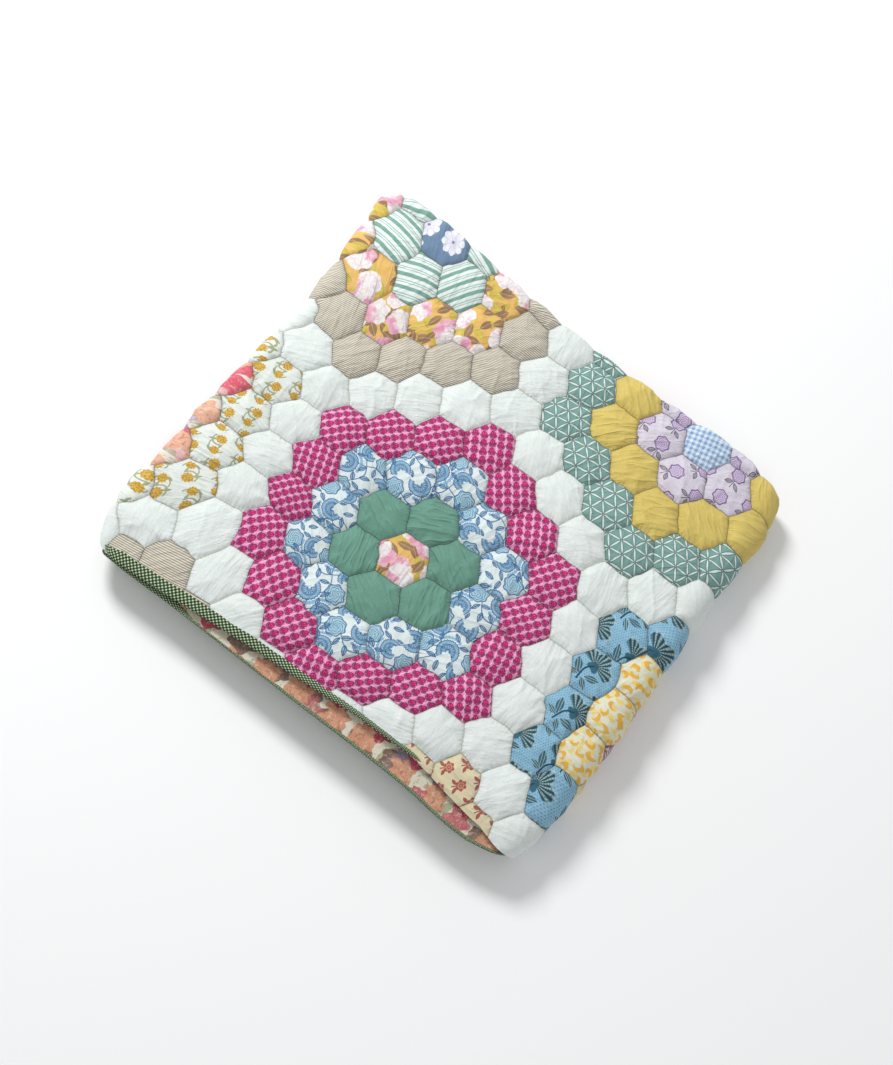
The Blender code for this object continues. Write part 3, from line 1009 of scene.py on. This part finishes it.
def paint_rosebud(n, x, y):
    """Columns of crimson buds on pink, outlined and held between plum wings, with pale zigzags between."""
    x = x + n.noise(x, y, 6) * 0.9
    y = y + n.noise(x, y, 7, 2, 4.0) * 0.7
    a, column = n.repeat(x, 8.4)
    b, _ = n.repeat(y + n.math("PINGPONG", column, 1.0) * 1.4, 8.8)
    bud = n.length(a * 0.98, (b - 1.0) * 0.88)
    core = n.step(bud, 2.0, 0.3)
    heart = n.both(n.band(a, 0.34, 0.2), n.band(b - 1.0, 1.3, 0.3))
    shine = n.spot(abs(a) - 0.95, b - 1.7, 0.5, 0.35)
    wing, rib = n.leaf(abs(a), b, 2.3, -1.6, 55, 6.0, 2.6)
    inner, _ = n.leaf(abs(a), b, 2.3, -1.6, 55, 4.4, 1.3)
    stem = n.both(n.band(a, 0.3, 0.2), n.band(b + 3.2, 1.5, 0.3))
    crown = n.both(n.band(n.length(a, b - 3.2) - 1.1, 0.26, 0.2), n.past(b, 2.8, 0.3))
    zigzag = n.band(abs(a) - 3.45 - abs(n.repeat(y, 2.9)[0]) * 0.5, 0.36, 0.22)
    ground = n.mix((228, 142, 186), (212, 116, 164), n.noise(x, y, 5, 2))
    return n.laid(
        ground,
        ((240, 186, 210), zigzag * 0.9),
        ((122, 34, 86), n.either(wing, stem, crown) * 0.9),
        ((190, 92, 146), n.both(inner, n.past(rib, 0.25, 0.2)) * 0.75),
        ((104, 18, 66), n.step(bud, 2.7, 0.3) * 0.9),
        ((204, 40, 110), core),
        ((228, 96, 148), shine * 0.8),
        ((118, 18, 70), heart * 0.8),
    )


def paint_star(n, x, y):
    """White lens shapes along a net of triangles, each between two dark lines, and a ring at each node."""
    x = x + n.noise(x, y, 6) * 1.0
    y = y + n.noise(x, y, 6, 2, 5.0) * 1.0
    pitch, rise = 14.3, 14.3 * math.sqrt(3) / 2
    white, dark = [], []
    for degrees in (0, 60, 120):
        a, b = n.turned(x, y, degrees)
        off, row = n.repeat(b, rise)
        part, _ = n.repeat(a + row * (pitch / 2), pitch)
        lens = n.math("SINE", abs(part) * (math.pi / pitch)) * 0.80
        off, part = abs(off), abs(part)
        clear = n.past(part, 1.2, 0.4)
        white.append(n.both(n.step(off, lens + 0.05, 0.25), clear))
        dark.append(n.both(n.band(off - lens - 0.40, 0.22, 0.2), clear))
        dark.append(n.both(n.step(off, 0.16, 0.15), n.step(part, 3.2, 0.5)))
    off, row = n.repeat(y, rise)
    part, _ = n.repeat(x + row * (pitch / 2), pitch)
    node = n.length(part, off)
    ground = n.mix((130, 168, 160), (106, 147, 140), n.noise(x, y, 5, 3))
    return n.laid(
        ground,
        ((56, 84, 84), n.either(*dark) * 0.75),
        ((222, 230, 225), n.either(*white) * 0.9),
        ((60, 88, 86), n.ring(node, 0.95, 0.6, 0.25) * 0.85),
        ((196, 208, 202), n.step(node, 0.45, 0.2) * 0.8),
    )


def paint_lilac(n, x, y):
    """Outlined roses with two leaves, on a pale lilac ground with fine dots."""
    a, b = n.tile(x, y, 27.0, 31.0)
    edge = n.petals(a, b - 3.0, 7, 7.6, 0.07)
    wobble = n.noise(x, y, 5.0, 1) * 3.0
    swirl = n.math("SINE", edge * 13 + wobble + n.angle(a, b - 3.0))
    flower = n.step(edge, 1.0, 0.05)
    lines_in = n.both(n.band(swirl, 0.34, 0.24), flower)
    rim = n.ring(edge, 0.96, 0.15, 0.06)
    left, left_rib = n.leaf(a, b, -4.6, -8.8, 38, 9.6, 4.6)
    right, right_rib = n.leaf(a, b, 4.8, -9.4, 145, 9.6, 4.6)
    left_in, _ = n.leaf(a, b, -4.6, -8.8, 38, 7.4, 2.9)
    right_in, _ = n.leaf(a, b, 4.8, -9.4, 145, 7.4, 2.9)
    stem = n.both(n.band(a, 0.40, 0.2), n.band(b + 8.6, 4.8, 0.3))
    ribs = n.either(n.both(left, n.step(left_rib, 0.28, 0.2)), n.both(right, n.step(right_rib, 0.28, 0.2)))
    dot_x, dot_y = n.tile(x, y, 2.4, 2.4)
    return n.laid(
        n.mix((216, 209, 220), (206, 199, 212), n.noise(x, y, 12, 2)),
        ((184, 170, 196), n.spot(dot_x, dot_y, 0.34, 0.2) * 0.5),
        ((204, 184, 216), flower * 0.85),
        ((94, 66, 120), n.either(lines_in, rim) * 0.9),
        ((82, 74, 92), n.either(left, right, stem) * 0.9),
        ((176, 170, 182), n.either(left_in, right_in) * 0.9),
        ((92, 82, 104), ribs * 0.85),
    )


def paint_daisy(n, x, y):
    """Large white flowers with rounded petals and a lilac heart, on slate blue."""
    a, b, own = n.scatter(x, y, 31, 0.35)
    turn = n.angle(a, b) + own * 6.28
    reach = n.length(a, b) + n.noise(x, y, 5, 2) * 2.0
    rounded = n.math("SQRT", abs(n.math("COSINE", turn * 4)) + 0.02)
    flower = n.step(reach, rounded * 5.2 + 8.6, 0.5)
    back = n.step(reach, n.math("SQRT", abs(n.math("SINE", turn * 4)) + 0.02) * 3.0 + 9.6, 0.5)
    gaps = n.both(flower, n.step(rounded, 0.36, 0.12), n.past(reach, 4.0, 0.8))
    rays = n.math("SINE", turn * 20 + n.noise(x, y, 3) * 3)
    strokes = n.both(n.band(rays, 0.34, 0.2), n.step(reach, 8.2, 1.4))
    return n.laid(
        n.mix((114, 138, 164), (100, 124, 152), n.noise(x, y, 6, 3)),
        ((186, 180, 208), back * 0.9),
        ((226, 228, 236), flower),
        ((156, 144, 186), n.either(gaps, strokes) * 0.85),
        ((112, 92, 140), n.step(reach + n.noise(x, y, 1.6, 1) * 2, 3.6, 0.6) * 0.85),
    )


def paint_peony(n, x, y):
    """Large white peonies brushed with pink, over olive and brown leaves, on amber."""
    made = n.mix((226, 190, 116), (218, 170, 92), n.noise(x, y, 11, 2))
    leaf_colours = ((190, 172, 70), (138, 104, 84), (204, 182, 84), (146, 114, 92))
    for number, colour in enumerate(leaf_colours):
        a, b, own = n.scatter(x + 31.0 * number, y - 17.0 * number, 22, 0.7)
        blade, rib = n.spun_leaf(a, b, own, 18.0, 8.0)
        made = n.mix(made, colour, blade * 0.9)
        made = n.mix(made, (226, 202, 134), n.both(blade, n.step(rib, 0.4, 0.3)) * 0.35)
    ragged = n.noise(x, y, 8.0, 2, 9.0) * 0.30
    for number, pitch in enumerate((38, 36)):
        warp = n.noise(x, y, 11, 2, 3.0 + number) * 6
        a, b, own = n.scatter(x + warp + 41.0 * number, y - warp + 23.0 * number, pitch, 0.55)
        a, b = n.spun(a, b, own)
        edge = n.petals(a, b, 5, 15.0 - 3.4 * number, 0.08) + ragged
        flower = n.step(edge, 1.0, 0.04)
        petal = n.math("COSINE", n.angle(a, b) * 5)
        gaps = n.both(n.step(petal, -0.90, 0.08), n.past(edge, 0.45, 0.1))
        folds = n.either(n.ring(edge, 0.74, 0.05, 0.06) * 0.6, gaps * 0.5)
        wash = n.noise(x, y, 7.0, 2, 5.0 + number)
        side = n.step(a + wash * 22.0, 8.0, 3.0)
        deeper = n.both(side, n.step(wash, 0.46, 0.05))
        made = n.mix(made, (230, 226, 224), flower)
        made = n.mix(made, (226, 166, 188), n.both(side, flower) * 0.9)
        made = n.mix(made, (216, 138, 164), n.both(n.either(folds, deeper), flower) * 0.7)
    return made


def paint_vine(n, x, y):
    """Block-printed blue fans, roses and leaves on winding stems."""
    x = x + n.noise(x, y, 9) * 1.6
    y = y + n.noise(x, y, 9, 2, 7.0) * 1.6
    width, height = 46.0, 42.0
    a, b = n.tile(x, y, width, height)
    deep, soft = [], []
    # Columns: X, Y, turn, radius of each fan.
    for at_x, at_y, degrees, radius in ((-11.0, -1.0, -60, 10.8), (12.5, -13.5, 120, 9.6)):
        fan_x, fan_y = n.turned(a - at_x, b - at_y, degrees)
        distance = n.length(fan_x, fan_y) * (10.8 / radius)
        turn = abs(n.angle(fan_x, fan_y))
        open_side = n.step(turn, 2.35, 0.06)
        band = n.both(n.ring(distance, 9.0, 3.6), open_side)
        heart = n.both(n.step(distance, 6.2, 0.2), n.step(turn, 2.1, 0.08))
        rays = n.band(n.math("SINE", turn * 7), 0.36, 0.18)
        spokes = n.both(heart, rays, n.past(distance, 1.8, 0.3))
        teeth = n.math("COSINE", turn * 30) * 0.5
        comb = n.both(n.band(distance - 14.2, teeth + 1.5, 0.2), n.step(turn, 0.75, 0.05))
        soft += [band, comb, heart]
        outer = n.ring(distance + n.math("COSINE", turn * 26) * 0.35, 10.9, 1.0)
        rims = n.either(outer, n.ring(distance, 7.1, 0.8), n.ring(distance, 2.0, 0.9))
        deep += [n.both(rims, open_side), spokes, n.both(n.ring(distance, 6.2, 0.7), open_side)]
    rose_x, rose_y = a - 11.5, b - 9.5
    rose = n.petals(rose_x, rose_y, 7, 9.6, 0.07)
    swirl = n.math("SINE", rose * 13 + n.angle(rose_x, rose_y) * 3 + n.noise(x, y, 6, 1) * 5)
    pale = n.step(rose, 1.0, 0.04)
    deep += [n.ring(rose, 1.0, 0.11, 0.04), n.both(pale, n.band(swirl, 0.34, 0.2))]
    stem_y = n.math("SINE", x * (2 * math.pi / width)) * 6.0
    stem_x = n.math("SINE", y * (2 * math.pi / height)) * 4.5
    stems = n.either(
        n.bars(y - stem_y + 17.0, height, 0.70, 0.25),
        n.bars(x - stem_x + 1.0, width, 0.62, 0.25),
    )
    hatch = n.bars(x * 0.8 + y * 0.6, 1.5, 0.30, 0.2)
    # Columns: X, Y, turn, length, width of each leaf.
    for at_x, at_y, degrees, length, broad in (
        (4.5, 3.0, 62, 12.0, 5.0),
        (-3.5, 13.0, 20, 11.0, 4.6),
        (-14.0, 16.5, 115, 12.0, 5.0),
        (3.8, -7.0, 118, 10.0, 4.2),
        (-19.5, -15.0, 35, 11.5, 4.8),
        (-7.5, -17.5, -28, 10.5, 4.4),
        (21.0, -2.0, 80, 11.0, 4.4),
        (-22.0, 7.5, -65, 9.0, 3.8),
    ):
        blade, off = n.leaf(a, b, at_x, at_y, degrees, length, broad)
        core, _ = n.leaf(a, b, at_x, at_y, degrees, length - 2.4, broad - 1.5)
        soft.append(n.both(blade, 0.85 - off * 0.08))
        deep += [n.both(blade, 1 - core), n.both(core, n.step(off, 0.45, 0.25)), n.both(core, hatch) * 0.6]
    worn = 0.98 - n.noise(x, y, 1.6, 2, 13.0) * 0.34
    return n.laid(
        n.mix((219, 229, 229), (209, 220, 221), n.noise(x, y, 14, 2)),
        ((64, 114, 152), stems * 0.9),
        ((146, 190, 208), pale * worn),
        ((106, 160, 194), n.either(*soft) * worn),
        ((38, 84, 132), n.either(*deep) * 0.9),
    )


def paint_crescent(n, x, y):
    """Amber commas, each with a paler one behind, on cream."""
    x = x + n.noise(x, y, 5, 2) * 4.0
    y = y + n.noise(x, y, 5, 2, 8.0) * 4.0
    made = n.mix((224, 224, 203), (212, 212, 190), n.noise(x, y, 9, 2))
    for number, (colour, radius) in enumerate((((230, 206, 118), 3.1), ((222, 170, 56), 4.1))):
        a, b, own = n.scatter(x + 23.0 * number, y, 9.6 + number, 0.5)
        cos, sin = n.math("COSINE", own * 6.28), n.math("SINE", own * 6.28)
        bite = n.spot(a - cos * 2.9, b - sin * 2.9, radius - 1.2, 0.4)
        moon = n.both(n.spot(a, b, radius, 0.4), 1 - bite)
        made = n.mix(made, colour, moon * 0.92)
    return made


def paint_mauve(n, x, y):
    """Mauve with rows of white bars and small white flowers."""
    bar, row = n.repeat(y, 7.5)
    teeth = n.both(n.bars(x, 1.9, 0.42, 0.15), n.band(bar, 2.0, 0.2))
    a, _ = n.repeat(x + row * 2.3, 6.0)
    blossom = n.step(n.petals(a, abs(bar) - 3.75, 5, 1.5, 0.2), 1.0, 0.12)
    ground = n.mix((166, 116, 130), (148, 96, 112), n.noise(x, y, 5, 2))
    return n.mix(ground, (228, 214, 216), n.either(teeth, blossom) * 0.85)


def paint_sky(n, x, y):
    """Deep teal fan flowers with fine cream filaments, on dotted light blue."""
    dot_x, dot_y = n.tile(x, y, 1.9, 2.0)
    dots = n.spot(dot_x, dot_y, 0.38, 0.16)
    x = x + n.noise(x, y, 8, 2) * 2.0
    a, b = n.tile(x, y, 32.0, 36.0)
    b = b + 1.0
    distance, turn = n.length(a, b), n.angle(b, a)
    wobble = n.noise(x, y, 4, 2) * 2.5
    rays = n.math("COSINE", turn * 21 + wobble)
    lobes = abs(n.math("COSINE", turn * 2.5))
    head = n.both(n.step(distance, lobes * 4.6 + 10.0, 0.5), n.band(turn, 1.62, 0.08))
    far = n.both(n.step(distance, lobes * 4.6 + 11.6, 0.5), n.band(turn, 1.5, 0.1))
    threads = n.both(n.past(rays, 0.35, 0.35), far, n.past(distance, 3.2, 0.8))
    beads = n.both(n.bars(distance + wobble, 1.7, 0.50, 0.25), threads)
    shade = n.both(n.step(rays, -0.55, 0.3), head)
    cup = n.step(n.petals(a, b + 1.0, 3, 4.2, 0.25, 1.57), 1.0, 0.1)
    bend = n.math("SINE", b * 0.22) * 2.0
    stem = n.both(n.band(a - bend, 0.65, 0.3), n.band(b + 10.0, 10.0, 0.4))
    blades, ribs = [], []
    # Columns: X, Y, turn, length, width.
    for at_x, at_y, degrees, length, width in (
        (-7.0, -9.5, 145, 13.0, 5.6),
        (7.4, -7.6, 38, 12.0, 5.2),
        (-5.4, -15.5, 200, 9.0, 3.8),
        (6.6, -15.0, -20, 10.0, 4.0),
    ):
        blade, off = n.leaf(a, b, at_x, at_y, degrees, length, width)
        blades.append(blade)
        ribs.append(n.both(blade, n.band(off - width * 0.17, 0.2, 0.15)))
    return n.laid(
        n.mix((146, 190, 212), (130, 176, 202), n.noise(x, y, 9, 2)),
        ((76, 116, 146), dots * 0.8),
        ((44, 94, 112), n.either(head, cup, stem, *blades) * 0.94),
        ((26, 60, 76), n.either(shade, stem) * 0.85),
        ((190, 200, 180), n.either(beads, threads * 0.35, *ribs) * 0.75),
    )


def paint_sprig(n, x, y):
    """Round mustard flower heads in green cups, in pairs on a bent stalk, on white."""
    x = x + n.noise(x, y, 8, 2) * 2.0
    a, b = n.tile(x, y, 17.0, 19.0)
    near = n.petals(a + 3.0, b - 3.4, 11, 3.7, 0.09) + n.noise(x, y, 1.6, 2) * 0.25
    far = n.petals(a - 4.2, b + 3.6, 10, 3.1, 0.09) + n.noise(x, y, 1.6, 2) * 0.25
    heads = n.either(n.step(near, 1.1, 0.08), n.step(far, 1.1, 0.08))
    marks = n.both(heads, n.past(n.noise(x, y, 1.0, 1), 0.52, 0.06))
    cups = n.ring(n.length(a + 3.0, (b - 2.2) * 0.9), 4.3, 0.9, 0.25)
    cups = n.both(cups, n.step(b, 1.6, 0.5))
    stalk = n.band(n.length(a - 1.4, b + 0.8) - 5.4, 0.42, 0.25)
    stalk = n.both(stalk, n.step(b, 1.2, 0.4))
    left, _ = n.leaf(a, b, -5.0, -2.0, 62, 6.4, 1.9)
    right, _ = n.leaf(a, b, 1.6, -6.6, 8, 5.6, 1.8)
    last, _ = n.leaf(a, b, 2.2, 0.8, 115, 5.0, 1.5)
    return n.laid(
        n.mix((223, 228, 222), (212, 218, 211), n.noise(x, y, 10, 2)),
        ((142, 148, 98), n.either(stalk, cups, left, right, last) * 0.85),
        ((208, 168, 66), heads * 0.95),
        ((168, 128, 44), marks * 0.85),
    )


def paint_rust(n, x, y):
    """Round rust-red flowers, each over two curled leaves, in a half drop on cream."""
    a, b = n.tile(x, y, 12.5, 14.5)
    head = n.petals(a, b - 1.0, 6, 3.5, 0.12)
    flower = n.step(head, 1.0, 0.08)
    lobes = n.math("COSINE", n.angle(a, b - 1.0) * 6)
    cuts_in = n.both(n.step(lobes, -0.86, 0.1), n.past(head, 0.5, 0.1))
    eye = n.ring(head, 0.48, 0.16, 0.06)
    left, _ = n.leaf(a, b, -2.7, -3.4, 35, 4.8, 2.3)
    right, _ = n.leaf(a, b, 2.7, -3.4, 145, 4.8, 2.3)
    foot = n.both(n.band(a, 0.40, 0.15), n.band(b + 3.4, 1.9, 0.2))
    marks = n.either(eye, cuts_in, n.spot(a, b - 1.0, 0.5))
    return n.laid(
        n.mix((225, 215, 182), (212, 201, 165), n.noise(x, y, 8, 2)),
        ((164, 72, 64), n.either(flower, left, right, foot) * 0.92),
        ((216, 172, 148), n.both(marks, flower) * 0.75),
    )


def blooms(n, x, y, pitch, ground, colours):
    """A loose watercolour of overlapping large blooms, each in one of the colours, over soft leaves."""
    bend = n.noise(x, y, 14, 2, 2.0) * 12
    made = n.mix(ground, (214, 208, 190), n.noise(x, y, 16, 2))
    a, b, own = n.scatter(x - 11.0, y + 19.0, pitch * 0.8, 0.8)
    blade, _ = n.spun_leaf(a, b, own, pitch * 0.75, pitch * 0.26)
    made = n.mix(made, (146, 148, 112), blade * 0.7)
    ragged = n.noise(x, y, 8, 2, 11.0) * 0.26
    for number, (colour, deep) in enumerate(colours):
        a, b, own = n.scatter(x + bend + 37.0 * number, y - bend + 23.0 * number, pitch, 0.75)
        edge = n.petals(a, b, 5 + number % 2, pitch * 0.40, 0.16, 1.3 * number) + ragged
        taken = n.both(n.step(edge, 1.0, 0.04), n.step(own, 0.72, 0.01))
        spoke = n.angle(a, b) * 14 + n.noise(x, y, 6, 2) * 9
        veins = n.band(n.math("SINE", spoke), 0.30, 0.25)
        petal = n.band(n.math("SINE", n.angle(a, b) * 2.5 + 0.6 * number), 0.08, 0.07)
        wash = n.noise(x, y, 7, 2, 4.0 + number)
        dark = n.either(wash * 0.9, n.ring(edge, 1.0, 0.11, 0.06), petal * 0.9, n.step(edge, 0.24, 0.1))
        lines_in = n.both(veins, n.step(edge, 0.80, 0.25), 1 - petal)
        bloom = n.mix(n.mix(colour, deep, dark), (232, 216, 200), lines_in * 0.26)
        made = n.mix(made, bloom, taken * 0.95)
    fleck = n.noise(x + bend, y - bend, 3.2, 3, 17.0)
    made = n.mix(made, (92, 70, 60), n.step(fleck, 0.38, 0.04) * 0.40)
    return n.mix(made, (236, 224, 206), n.past(fleck, 0.62, 0.04) * 0.3)


def paint_bloom(n, x, y):
    """Soft pink, lilac, coral and peach blooms. Each has its colour and a deeper one."""
    colours = (
        ((226, 186, 186), (212, 150, 158)),
        ((182, 168, 190), (152, 136, 166)),
        ((218, 92, 112), (200, 70, 94)),
        ((228, 180, 150), (206, 146, 120)),
    )
    return blooms(n, x, y, 34, (222, 214, 204), colours)


def paint_backing(n, x, y):
    """The backing's larger blooms in brown, rose, mauve, peach and crimson."""
    colours = (
        ((142, 112, 100), (92, 68, 62)),
        ((204, 112, 116), (152, 66, 76)),
        ((154, 136, 154), (110, 94, 118)),
        ((214, 162, 128), (176, 112, 84)),
        ((200, 74, 96), (146, 36, 62)),
    )
    return blooms(n, x, y, 38, (204, 196, 176), colours)


def paint_binding(n, x, y):
    """Dark green and white gingham, cut on the bias."""
    x, y = n.turned(x, y, 45)
    warp, weft = n.bars(x, 3.1, 0.88, 0.15), n.bars(y, 3.1, 0.88, 0.15)
    return checks(n, warp, weft, (210, 218, 182), (82, 108, 76), (24, 42, 28))


# How much larger some prints are made than they are drawn.
SCALE = {
    "stripe": 1.3,
    "mauve": 1.5,
    "sprig": 1.4,
    "sky": 1.3,
    "rust": 1.5,
}


# How deeply some fabrics are creased, and all others. This scales the creases' bump and also the painted light
# and shade on their folds.
FOLDS = {
    "path": 0.2,
    "sage": 1.0,
    "mustard": 0.8,
    "gingham_tape": 0.2,
}
OTHER_FOLD = 0.5


# The colour of the painted shade line where two hexagons meet, standing for the shadow in the seam's groove,
# which hardly shows inside a busy print.
SEAM_SHADE_COLOURS = {
    "path": (190, 184, 164),
    "sage": (66, 80, 74),
    "mustard": (124, 98, 60),
    "rosebud": (108, 80, 94),
    "peony": (176, 164, 144),
    "vine": (156, 164, 160),
    "star": (150, 156, 148),
}
OTHER_SEAM_SHADE = (104, 104, 92)


# The weave's threads and the hand stitches, in millimetres.
THREAD = 0.42
STITCH_PITCH = 2.7
STITCH_HALF_LENGTH = 0.75
STITCH_INSIDE = 0.75
STITCH_HALF_WIDTH = 0.17

# The half width in millimetres of the painted shade line at each seam, how fast the painted shade beside the
# seam fades, and how strong that painted shade is.
SEAM_WIDTH, SEAM_SOFT = 0.40, 0.36
SHADE_FADE = -0.5
SHADE_DEPTH, PATH_SHADE_DEPTH = 0.20, 0.10

# The height of a relief of 1 mm, in metres.
METRES = 0.001

# How cotton takes the light.
ROUGHNESS, SPECULAR, SHEEN, SHEEN_ROUGHNESS = 0.88, 0.25, 0.12, 0.45


def woven(name, paint, sewn=True, bump=1.0):
    """A cotton fabric: its print, its threads, its creases with painted light and shade on their folds, and
    its seams where it is pieced, with painted shade along them.
    """
    n = Net(name)
    x, y = n.map("cloth")
    size = SCALE.get(name, 1.0)
    colour = paint(n, x / size, y / size)
    warp = n.noise(x * 0.10, y, THREAD, 2, 1.0)
    weft = n.noise(x, y * 0.10, THREAD, 2, 2.0)
    thread = n.math("ADD", warp, weft) - 1
    slow, quick = n.noise(x, y, 22, 2, 6.0) - 0.5, n.noise(x, y, 2.2, 3, 7.0) - 0.5
    shade = 1 + thread * 0.20 + slow * 0.10 + quick * 0.14
    lean, cross = x * 0.8 + y * 0.6, y * 0.8 - x * 0.6
    crease = n.noise(lean * 0.25, cross, 6.0, 3, 12.0)
    fine = n.noise(lean * 0.2, cross, 2.6, 2, 15.0)
    fold = n.math("EXPONENT", abs(n.noise(lean * 0.24, cross, 10.0, 1, 19.0) - 0.5) * -11)
    bent = FOLDS.get(name, OTHER_FOLD)
    height = crease * 1.4 + abs(fine - 0.5) * 0.5 + thread * 0.12 + fold * 1.2 * bent
    # Painted light and shade: the crest of each fold is painted lighter and the cloth beside it darker.
    shade = shade * (1 + (fold - 0.4) * 0.09 * bent)
    if sewn:
        run, inside = n.map("seam")
        pucker = n.noise(run, inside * 0.12, 3.4, 2, 3.0) - 0.5
        near = n.math("EXPONENT", inside * -0.26)
        height = height + pucker * near * 2.2
        stitch_line = n.band(inside - STITCH_INSIDE, STITCH_HALF_WIDTH, 0.10)
        stitch = n.both(n.bars(run, STITCH_PITCH, STITCH_HALF_LENGTH, 0.12), stitch_line)
        height = height - stitch * 0.25
        uneven = n.noise(run, inside, 5.0, 2, 9.0)
        # Painted shade: a thin dark line along each seam stands for the shadow in the seam's groove.
        seam = n.step(inside, SEAM_WIDTH, SEAM_SOFT) * (uneven * 0.9 + 0.30)
        depth = PATH_SHADE_DEPTH if name == "path" else SHADE_DEPTH
        # Painted shade: the cloth is painted darker towards each seam, where the sunk groove would lie in
        # shade.
        sunk = 1 - n.math("EXPONENT", inside * SHADE_FADE) * depth
        shade = shade * sunk * (1 + n.face("tint") * 0.035)
        colour = n.mix(colour, (196, 190, 170), stitch * 0.22)
        # The painted seam shade line darkens the print by multiplying it with the seam's shade colour.
        colour = n.mix(colour, SEAM_SHADE_COLOURS.get(name, OTHER_SEAM_SHADE), seam * 0.85, "MULTIPLY")
    # The base colour is the print multiplied by this shade: the weave, the mottling and each hexagon's tint,
    # with the painted light and shade of the folds and seams.
    grey = n.vector(shade, shade, shade)
    n.feed(n.shader.inputs["Base Color"], n.mix(colour, grey, 1.0, "MULTIPLY"))
    n.shader.inputs["Roughness"].default_value = ROUGHNESS
    n.shader.inputs["Specular IOR Level"].default_value = SPECULAR
    n.shader.inputs["Sheen Weight"].default_value = SHEEN
    n.shader.inputs["Sheen Roughness"].default_value = SHEEN_ROUGHNESS
    lifted = n.nodes.new("ShaderNodeBump")
    lifted.inputs["Distance"].default_value = METRES * bump
    lifted.inputs["Strength"].default_value = 1.0
    n.feed(lifted.inputs["Height"], height)
    n.links.new(lifted.outputs[0], n.shader.inputs["Normal"])
    return n.material


PAINTS = {
    "path": paint_path,
    "peony": paint_peony,
    "sage": paint_sage,
    "vine": paint_vine,
    "rosebud": paint_rosebud,
    "gingham": paint_gingham,
    "lilac": paint_lilac,
    "mustard": paint_mustard,
    "star": paint_star,
    "daisy": paint_daisy,
    "stripe": paint_stripe,
    "ticking": paint_ticking,
    "mauve": paint_mauve,
    "crescent": paint_crescent,
    "sky": paint_sky,
    "bloom": paint_bloom,
    "sprig": paint_sprig,
    "rust": paint_rust,
}
FABRICS = tuple(PAINTS)


def make_quilt():
    """The three pieces of cloth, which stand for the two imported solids."""
    face = make_patchwork({name: woven(name, paint) for name, paint in PAINTS.items()})
    backing = make_backing(woven("backing", paint_backing, sewn=False))
    binding = make_binding(woven("gingham_tape", paint_binding, sewn=False, bump=0.6))
    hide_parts("quilt")
    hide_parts("quilt")
    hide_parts("binding")


# The floor's half size, and how far it lies under the quilt.
FLOOR_SIZE = 6.0
FLOOR_Z = -0.0004
FLOOR_COLOUR = (0.94, 0.94, 0.94, 1)
SKY_COLOUR = (0.97, 0.985, 1.0, 1)
SKY_STRENGTH = 0.445

# Columns: name, place, width, watts.
LIGHTS = (
    ("key", (-1.8, 1.0, 1.8), 0.8, 62),
    ("fill", (1.6, -1.4, 2.6), 2.4, 16),
)


def make_studio():
    """A pale floor, soft light all round, and a broad key light from the left."""
    mesh = bpy.data.meshes.new("floor")
    size = FLOOR_SIZE
    corners = [(-size, -size), (size, -size), (size, size), (-size, size)]
    mesh.from_pydata([(x, y, FLOOR_Z) for x, y in corners], [], [(0, 1, 2, 3)])
    floor = bpy.data.objects.new("floor", mesh)
    bpy.context.scene.collection.objects.link(floor)
    n = Net("pale_floor")
    n.shader.inputs["Base Color"].default_value = FLOOR_COLOUR
    n.shader.inputs["Roughness"].default_value = 0.9
    mesh.materials.append(n.material)

    world = bpy.data.worlds.new("studio")
    bpy.context.scene.world = world
    world.use_nodes = True
    background = world.node_tree.nodes["Background"]
    background.inputs["Color"].default_value = SKY_COLOUR
    background.inputs["Strength"].default_value = SKY_STRENGTH

    for name, at, width, watts in LIGHTS:
        light = bpy.data.lights.new(name, "AREA")
        light.shape = "DISK"
        light.size = width
        light.energy = watts
        lamp = bpy.data.objects.new(name, light)
        bpy.context.scene.collection.objects.link(lamp)
        lamp.location = at
        lamp.rotation_mode = "QUATERNION"
        lamp.rotation_quaternion = (-lamp.location).to_track_quat("-Z", "Y")


def make_camera():
    """The fitted camera. Its axes are given as its right and its up."""
    data = bpy.data.cameras.new("camera")
    data.lens = CAMERA_LENS
    data.sensor_width = 36
    data.clip_start, data.clip_end = 0.05, 50
    camera = bpy.data.objects.new("camera", data)
    bpy.context.scene.collection.objects.link(camera)
    right, up = np.array(CAMERA_RIGHT), np.array(CAMERA_UP)
    turn = Matrix(np.stack([right, up, np.cross(right, up)], -1).tolist())
    camera.rotation_mode = "QUATERNION"
    camera.rotation_quaternion = turn.to_quaternion()
    camera.location = CAMERA_AT
    bpy.context.scene.camera = camera


make_quilt()
make_studio()
make_camera()
bpy.context.scene.view_settings.view_transform = "Standard"
